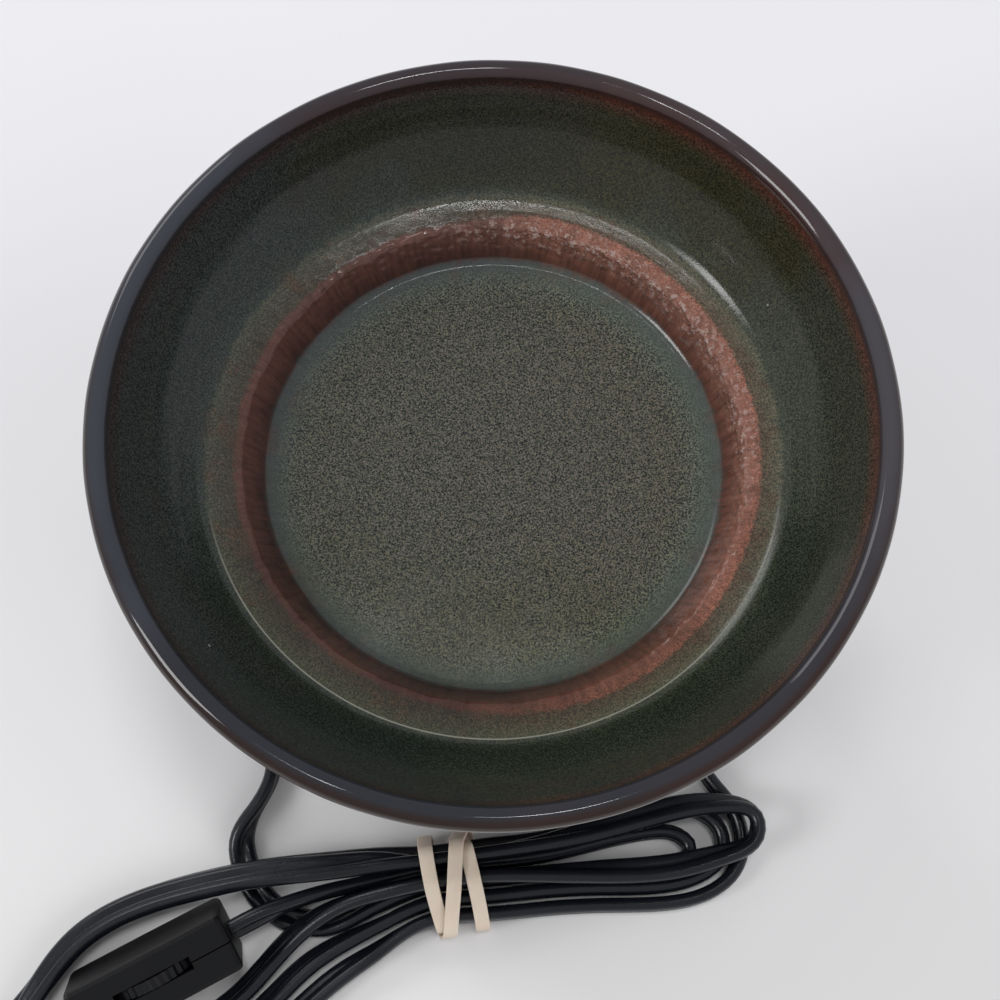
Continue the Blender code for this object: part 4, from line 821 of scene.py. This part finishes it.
# The wall behind is a warmer olive, and the lip there burnt to a red-brown
back_tint = add_node(tree, "ValToRGB", {"Fac": even_along}, stops_along(
    (SHELF_END, "#ffffff"), (SHELF_END + 2, "#ece0c2"), (LIP_IN - 4, "#ece0c2"),
    (LIP_IN - 2, "#f6e0d4"), (LIP_IN, "#ffc8b8"), (LIP_OUT, "#e8d4d0"), (UNDER, "#ffffff")))
far = add_node(tree, "MapRange", {"Value": frontness}, in_From_Min=-0.03, in_From_Max=-0.055,
               interpolation_type="SMOOTHSTEP")
burnt = add_node(tree, "Mix", {"Factor": far, 6: greened, 7: back_tint}, blend_type="MULTIPLY")
# Darker and lighter runs down the step and the wall, where the melting glaze flowed
flow = add_node(tree, "ValToRGB", {"Fac": streaks}, (
    (0.34, "#4c4848"), (0.46, "#b4b0ae"), (0.56, "#dcdcdc"), (0.68, "#ffffff")))
flow_share = add_node(tree, "ValToRGB", {"Fac": even_along}, stops_along(
    (FLOOR_END - 2, "#000000"), (FLOOR_END + 3, "#b0b0b0"), (STEP_END + 2, "#b0b0b0"),
    (SHELF_END, "#202020"), (SHELF_END + 4, "#3c3c3c"), (LIP_IN - 1, "#303030"),
    (LIP_IN, "#000000")))
flowed = add_node(tree, "Mix", {"Factor": flow_share, 6: burnt, 7: flow}, blend_type="MULTIPLY")
# Iron-brown blotches break through on the shelf and the step
blotch = add_node(tree, "MapRange", {"Value": blot}, in_From_Min=0.52, in_From_Max=0.64,
                  interpolation_type="SMOOTHSTEP", in_To_Max=0.5)
on_shelf = add_node(tree, "ValToRGB", {"Fac": place_along}, stops_along(
    (FLOOR_END - 12, "#000000"), (FLOOR_END - 6, "#404040"), (STEP_END, "#ffffff"),
    (SHELF_END - 0.5, "#ffffff"), (SHELF_END + 1.5, "#303030"), (LIP_IN, "#303030")))
brown_share = add_node(tree, "Math", {0: blotch, 1: on_shelf}, operation="MULTIPLY")
browned = add_node(tree, "Mix", {"Factor": brown_share, 6: flowed}, in_7=srgb("#4a352a"))
# Fine crystals all over: dark, green, brown and pale
speckle = add_node(tree, "ValToRGB", {"Fac": grains}, (
    (0.4, "#303636"), (0.465, "#8c9892"), (0.5, "#b8b8b4"), (0.535, "#d4c0a6"), (0.6, "#fffff6")))
speckle_share = add_node(tree, "ValToRGB", {"Fac": even_along}, stops_along(
    (FLOOR_END - 4, "#ffffff"), (FLOOR_END + 0.5, "#808080"), (FLOOR_END + 3, "#404040"),
    (STEP_END, "#505050"), (STEP_END + 3, "#c0c0c0"), (SHELF_END, "#c0c0c0"),
    (SHELF_END + 3, "#e0e0e0"), (LIP_IN - 2, "#d0d0d0"), (LIP_IN, "#181818")))
speckled = add_node(tree, "Mix", {"Factor": speckle_share, 6: browned, 7: speckle},
                    blend_type="OVERLAY")
tinted = add_node(tree, "Math", {0: speckle_share}, operation="MULTIPLY", in_1=0.45)
coloured = add_node(tree, "Mix", {"Factor": tinted, 6: speckled, 7: grains.outputs["Color"]},
                    blend_type="OVERLAY")
# Pale crystals crust the crest of the step at the back right, lightened partly as painted glints
crust = add_node(tree, "TexNoise", {"Vector": turned}, in_Scale=900.0, in_Detail=3.0,
                 in_Roughness=0.7)
crystal_glint_specks = add_node(tree, "MapRange", {"Value": crust}, in_From_Min=0.53, in_From_Max=0.61,
                   in_To_Max=0.8, interpolation_type="SMOOTHSTEP")
crest_here = add_node(tree, "ValToRGB", {"Fac": even_along}, stops_along(
    (STEP_END - 4.5, "#000000"), (STEP_END - 1, "#ffffff"), (STEP_END + 1, "#e0e0e0"),
    (STEP_END + 3.5, "#000000")))
backness = add_node(tree, "Math", {0: split.outputs["X"], 1: split.outputs["Y"]}, operation="ADD")
back_right = add_node(tree, "MapRange", {"Value": backness}, in_From_Min=0.028, in_From_Max=0.055,
                      interpolation_type="SMOOTHSTEP")
crust_there = add_node(tree, "Math", {0: crest_here, 1: back_right}, operation="MULTIPLY")
crystal_and_glint_share = add_node(tree, "Math", {0: crust_there, 1: crystal_glint_specks}, operation="MULTIPLY")
crusty = add_node(tree, "Mix", {"Factor": crystal_and_glint_share, 6: coloured}, in_7=srgb("#a8958e"))
# A few specks of dust
motes = add_node(tree, "TexVoronoi", {"Vector": turned}, in_Scale=75.0)
mote = add_node(tree, "MapRange", {"Value": motes.outputs["Distance"]}, in_From_Min=0.012,
                in_From_Max=0.022, in_To_Min=0.6, in_To_Max=0.0)
dusted = add_node(tree, "Mix", {"Factor": mote, 6: crusty}, in_7=srgb("#b4b2ac"))
# A crisp pale painted highlight along the shelf's outer edge at the front
line_near = add_node(tree, "Math", {0: along_section}, operation="SUBTRACT", in_1=SHELF_END)
line_off = add_node(tree, "Math", {0: line_near}, operation="ABSOLUTE")
line_share = add_node(tree, "MapRange", {"Value": line_off}, in_From_Min=0.05, in_From_Max=0.22,
                      in_To_Min=0.8, in_To_Max=0.0)
painted_highlight_line = add_node(tree, "Math", {0: line_share, 1: front_share}, operation="MULTIPLY")
highlight_lined = add_node(tree, "Mix", {"Factor": painted_highlight_line, 6: dusted}, in_7=srgb("#8d8d82"))
gloss = add_node(tree, "ValToRGB", {"Fac": place_along}, stops_along(
    (0, "#5c5c5c"), (FLOOR_END - 3, "#545454"), (FLOOR_END, "#303030"), (STEP_END, "#343434"),
    (SHELF_END, "#2c2c2c"), (LIP_IN, "#444444"), (UNDER, "#404040")))
pits = add_node(tree, "TexVoronoi", {"Vector": coords}, in_Scale=620.0)
ring_bump = add_node(tree, "ValToRGB", {"Fac": place_along}, stops_along(
    (FLOOR_END + 2.5, "#000000"), (FLOOR_END + 5, "#202020"), (STEP_END - 1, "#4c4c4c"),
    (STEP_END + 1.5, "#080808"), (SHELF_END, "#000000")))
grain_bump = add_node(tree, "MapRange", {"Value": even_along}, in_From_Min=(LIP_IN - 2) / UNDER,
                      in_From_Max=LIP_IN / UNDER, in_To_Min=0.035, in_To_Max=0.004)
pitted = add_node(tree, "Math", {0: pits.outputs["Distance"], 1: ring_bump}, operation="MULTIPLY")
crusty_height = add_node(tree, "Math", {0: crust_there, 1: crust, 2: pitted},
                         operation="MULTIPLY_ADD")
roughened = add_node(tree, "Math", {0: grains, 1: grain_bump, 2: crusty_height},
                     operation="MULTIPLY_ADD")
bump = add_node(tree, "Bump", {"Height": roughened}, in_Strength=1.0, in_Distance=0.0006)
feed(shader, {"Base Color": highlight_lined, "Roughness": gloss, "Normal": bump})
piece("dish", dish_mesh, "dish", glaze, "wax_dish")

# Body: a slip-cast stoneware pot, glazed dark brown outside and left raw inside and under the
# foot, with the lead's hole at the back.
BODY_BOTTOM = 2.0
BODY_TOP = shoulder_z - GAP
BODY_FOOT_R = 48.0
BODY_TOP_R = 57.8
BODY_WALL = 5.0
BORE_R = 51.4
RECESS_R = 44.0
RECESS_TOP = 5.3
LEDGE_R = 41.0
LEDGE_T = 3.7
LUG_AT = 37.5
LUG_R = 5.5
LUG_TOP = 15.0
ANCHOR_R = 3.0
ANCHOR_TOP = 13.5
LEAD_HOLE_R = 5.0
SEAT_HOLE_R = 7.2
LUG_ANGLES = (30, 150, 270)
BORE_HEIGHTS = (71.0, 50.4, 30.6, LUG_TOP + 1)


def body_radius(z):
    """Radius of the pot's outside at a height."""
    share = (z - BODY_BOTTOM) / (BODY_TOP - BODY_BOTTOM)
    return BODY_FOOT_R + (BODY_TOP_R - BODY_FOOT_R) * sin(pi / 2 * share)


outer_z = np.linspace(BODY_BOTTOM, BODY_TOP, 25)[1:-1]
outer = [(BODY_FOOT_R, BODY_BOTTOM, 1.0), *[(body_radius(z), z, 0) for z in outer_z],
         (BODY_TOP_R, BODY_TOP, 1.5)]
GLAZED = run_of([spot[:2] for spot in outer])[-1]
bore = [(BORE_R, BODY_TOP, 0.8)]
bore += [(min(BORE_R, body_radius(z) - BODY_WALL), z, 0) for z in BORE_HEIGHTS]
ledge = [(LEDGE_R, RECESS_TOP + LEDGE_T, 0), (LEDGE_R, RECESS_TOP, 0), (RECESS_R, RECESS_TOP, 0),
         (RECESS_R, BODY_BOTTOM, 0)]
body_mesh = spun("pot", rounded(outer + bore + ledge, step=15), 256, crease=55)
body_glaze, tree, shader, coords = new_material("dark_glaze", "#2b221d", 0.22, IOR=1.5)
along_section = add_node(tree, "Attribute", attribute_name="run").outputs["Fac"]
clouds = add_node(tree, "TexNoise", {"Vector": coords}, in_Scale=70.0, in_Detail=5.0,
                  in_Roughness=0.6)
tinted = add_node(tree, "ValToRGB", {"Fac": clouds}, (
    (0.3, "#241d19"), (0.5, "#30261f"), (0.7, "#3c2f27")))
grains = add_node(tree, "TexNoise", {"Vector": coords}, in_Scale=1500.0, in_Detail=2.0)
raw = add_node(tree, "MapRange", {"Value": along_section}, in_From_Min=GLAZED - 2.0,
               in_From_Max=GLAZED - 1.2)
bare = add_node(tree, "Mix", {"Factor": raw, 6: tinted}, in_7=srgb("#8d7a66"))
speckled = add_node(tree, "Mix", {6: bare, 7: grains}, blend_type="OVERLAY", in_0=0.5)
dull = add_node(tree, "MapRange", {"Value": raw}, in_To_Min=0.2, in_To_Max=0.8)
bump = add_node(tree, "Bump", {"Height": clouds}, in_Strength=0.25, in_Distance=0.0008)
feed(shader, {"Base Color": speckled, "Roughness": dull, "Normal": bump})
pot = piece("pot", body_mesh, "warmer", body_glaze, "body_shell")


def combined(target, meshes, operation):
    """Closed meshes, raw all over, joined and added to the target or cut out of it."""
    bm = bmesh.new()
    layer = bm.verts.layers.float.new("run")
    for mesh in meshes:
        bm.from_mesh(mesh)
        bpy.data.meshes.remove(mesh)
    for vert in bm.verts:
        vert[layer] = GLAZED + 10
    joined = bpy.data.meshes.new(operation)
    bm.to_mesh(joined)
    bm.free()
    tool = bpy.data.objects.new(operation, joined)
    bpy.context.collection.objects.link(tool)
    step = target.modifiers.new(operation, "BOOLEAN")
    step.operation = operation
    step.object = tool
    with bpy.context.temp_override(object=target, active_object=target):
        bpy.ops.object.modifier_apply(modifier=step.name)
    bpy.data.objects.remove(tool, do_unlink=True)


lug_spots = [(LUG_AT * cos(radians(a)), LUG_AT * sin(radians(a)), 0) for a in LUG_ANGLES]
lugs = [spun("lug", [(0, RECESS_TOP), (LUG_R, RECESS_TOP), (LUG_R, LUG_TOP), (0, LUG_TOP)], 48,
             at=spot) for spot in lug_spots]
combined(pot, lugs, "UNION")
holes = [spun("anchor_hole", [(0, RECESS_TOP - 1), (ANCHOR_R + GAP, RECESS_TOP - 1),
                              (ANCHOR_R + GAP, ANCHOR_TOP + GAP), (0, ANCHOR_TOP + GAP)], 48,
              at=spot) for spot in lug_spots]
holes.append(spun("lead_hole", [(0, SLEEVE_START_Y), (LEAD_HOLE_R, SLEEVE_START_Y),
                                (LEAD_HOLE_R, SEAT_Y), (SEAT_HOLE_R, SEAT_Y),
                                (SEAT_HOLE_R, SLEEVE_END_Y), (0, SLEEVE_END_Y)], 64,
                  Matrix.Rotation(radians(-90), 4, "X"), (0, 0, LEAD_Z)))
combined(pot, holes, "DIFFERENCE")

# Base: an injection-moulded plate in the body's recess, held by three zinc-plated screws in nylon
# anchors, with vent holes and four moulded rubber feet.
plate_black = moulded("plate_black", "#1c1c1d", 0.55, 0.5, 0.05)
nylon = moulded("anchor_nylon", "#cdc8bc", 0.5, 0.6, 0.02)
foot_rubber = moulded("foot_rubber", "#1e1e1e", 0.8, 0.35, 0.05)
dress(plate_black, "plate_black", "base_plate", bevel=0.3)
for number in (1, 2, 3):
    dress(nylon, "anchor_nylon", f"anchor_{number}", bevel=0.15)
    dress(steel, "zinc_steel", f"base_screw_{number}", bevel=0.12)
for number in (1, 2, 3, 4):
    dress(foot_rubber, "foot_rubber", f"foot_{number}", bevel=0.3)

# Lamp holder: a pressed steel saddle, a moulded phenolic socket riveted to it, a rolled brass
# shell and contact, two terminal screws and the lead's two cores.
phenolic = moulded("holder_phenolic", "#231f1d", 0.4, 0.4, 0.02)
wire_vinyl = moulded("wire_insulation", "#2d2d2f", 0.5, 0.5, 0.02)
dress(steel, "zinc_steel", "socket_bracket", "bracket_screw_1", "bracket_screw_2", bevel=0.2)
dress(phenolic, "holder_phenolic", "lamp_socket", bevel=0.3)
dress(brass, "brass", "socket_shell", "socket_rivet", "socket_contact", bevel=0.06)
dress(steel, "zinc_steel", "terminal_screw_1", "terminal_screw_2", bevel=0.1)
dress(wire_vinyl, "wire_insulation", "lead_wire_1", "lead_wire_2")

# Lamp: a blown clear globe on a pressed aluminium screw cap, with a glass stem and a filament,
# a soldered tip and a black glass insulator between tip and cap.
CAP_R = 5.95
CAP_BOTTOM = 23.0
CAP_TOP = 38.0
NECK_R = 4.9
GLOBE_R = 16.0
GLOBE_Z = 58.0
GLASS_T = 0.8
THREAD_TURNS = 9
THREAD_PITCH = 1.2
THREAD_DEPTH = 0.32


def glass_outline(less):
    """Section of the lamp's glass from its open neck to its top, less a thickness."""
    neck = [(NECK_R - less, CAP_BOTTOM + 2), (NECK_R - less, CAP_TOP + 2)]
    dome = [((GLOBE_R - less) * cos(radians(a)), GLOBE_Z + (GLOBE_R - less) * sin(radians(a)))
            for a in range(-62, 90, 4)]
    return neck + dome + [(0, GLOBE_Z + GLOBE_R - less)]


clear_glass, tree, shader, coords = new_material("lamp_glass", "#f2f5f6", 0.02,
                                                 Transmission_Weight=1.0, IOR=1.5)
ripple = add_node(tree, "TexNoise", {"Vector": coords}, in_Scale=90.0)
bump = add_node(tree, "Bump", {"Height": ripple}, in_Strength=0.15, in_Distance=0.0002)
feed(shader, {"Normal": bump})
globe_mesh = spun("globe", glass_outline(0) + glass_outline(GLASS_T)[::-1], 72)
piece("globe", globe_mesh, "warmer", clear_glass, "bulb_glass")
cap_metal = moulded("lamp_cap_metal", "#c6c6c4", 0.28, 0.5, 0.02, Metallic=1.0)
thread = []
for k in range(THREAD_TURNS):
    crest = CAP_BOTTOM + 1.9 + THREAD_PITCH * k
    thread += [(CAP_R - THREAD_DEPTH, crest - THREAD_PITCH / 2, 0.25), (CAP_R, crest, 0.25)]
cap = rounded([(NECK_R + 0.1, CAP_BOTTOM, 0), (CAP_R - 0.4, CAP_BOTTOM, 0.3), *thread,
               (CAP_R - 0.25, CAP_TOP, 0), (NECK_R + GAP, CAP_TOP, 0),
               (NECK_R + GAP, CAP_BOTTOM + 1.0, 0), (NECK_R + 0.1, CAP_BOTTOM + 0.6, 0)], step=20)
piece("lamp_cap", spun("lamp_cap", cap, 72), "warmer", cap_metal, "bulb_cap")
stem_glass = moulded("lamp_stem", "#d7dcde", 0.12, 0.8, 0.02)
black_glass = moulded("lamp_insulator", "#19191c", 0.15, 0.8, 0.02)
dress(cap_metal, "lamp_cap_metal", "bulb_tip", bevel=0.1)
dress(stem_glass, "lamp_stem", "bulb_mount")
dress(black_glass, "lamp_insulator", "bulb_insulator", bevel=0.1)
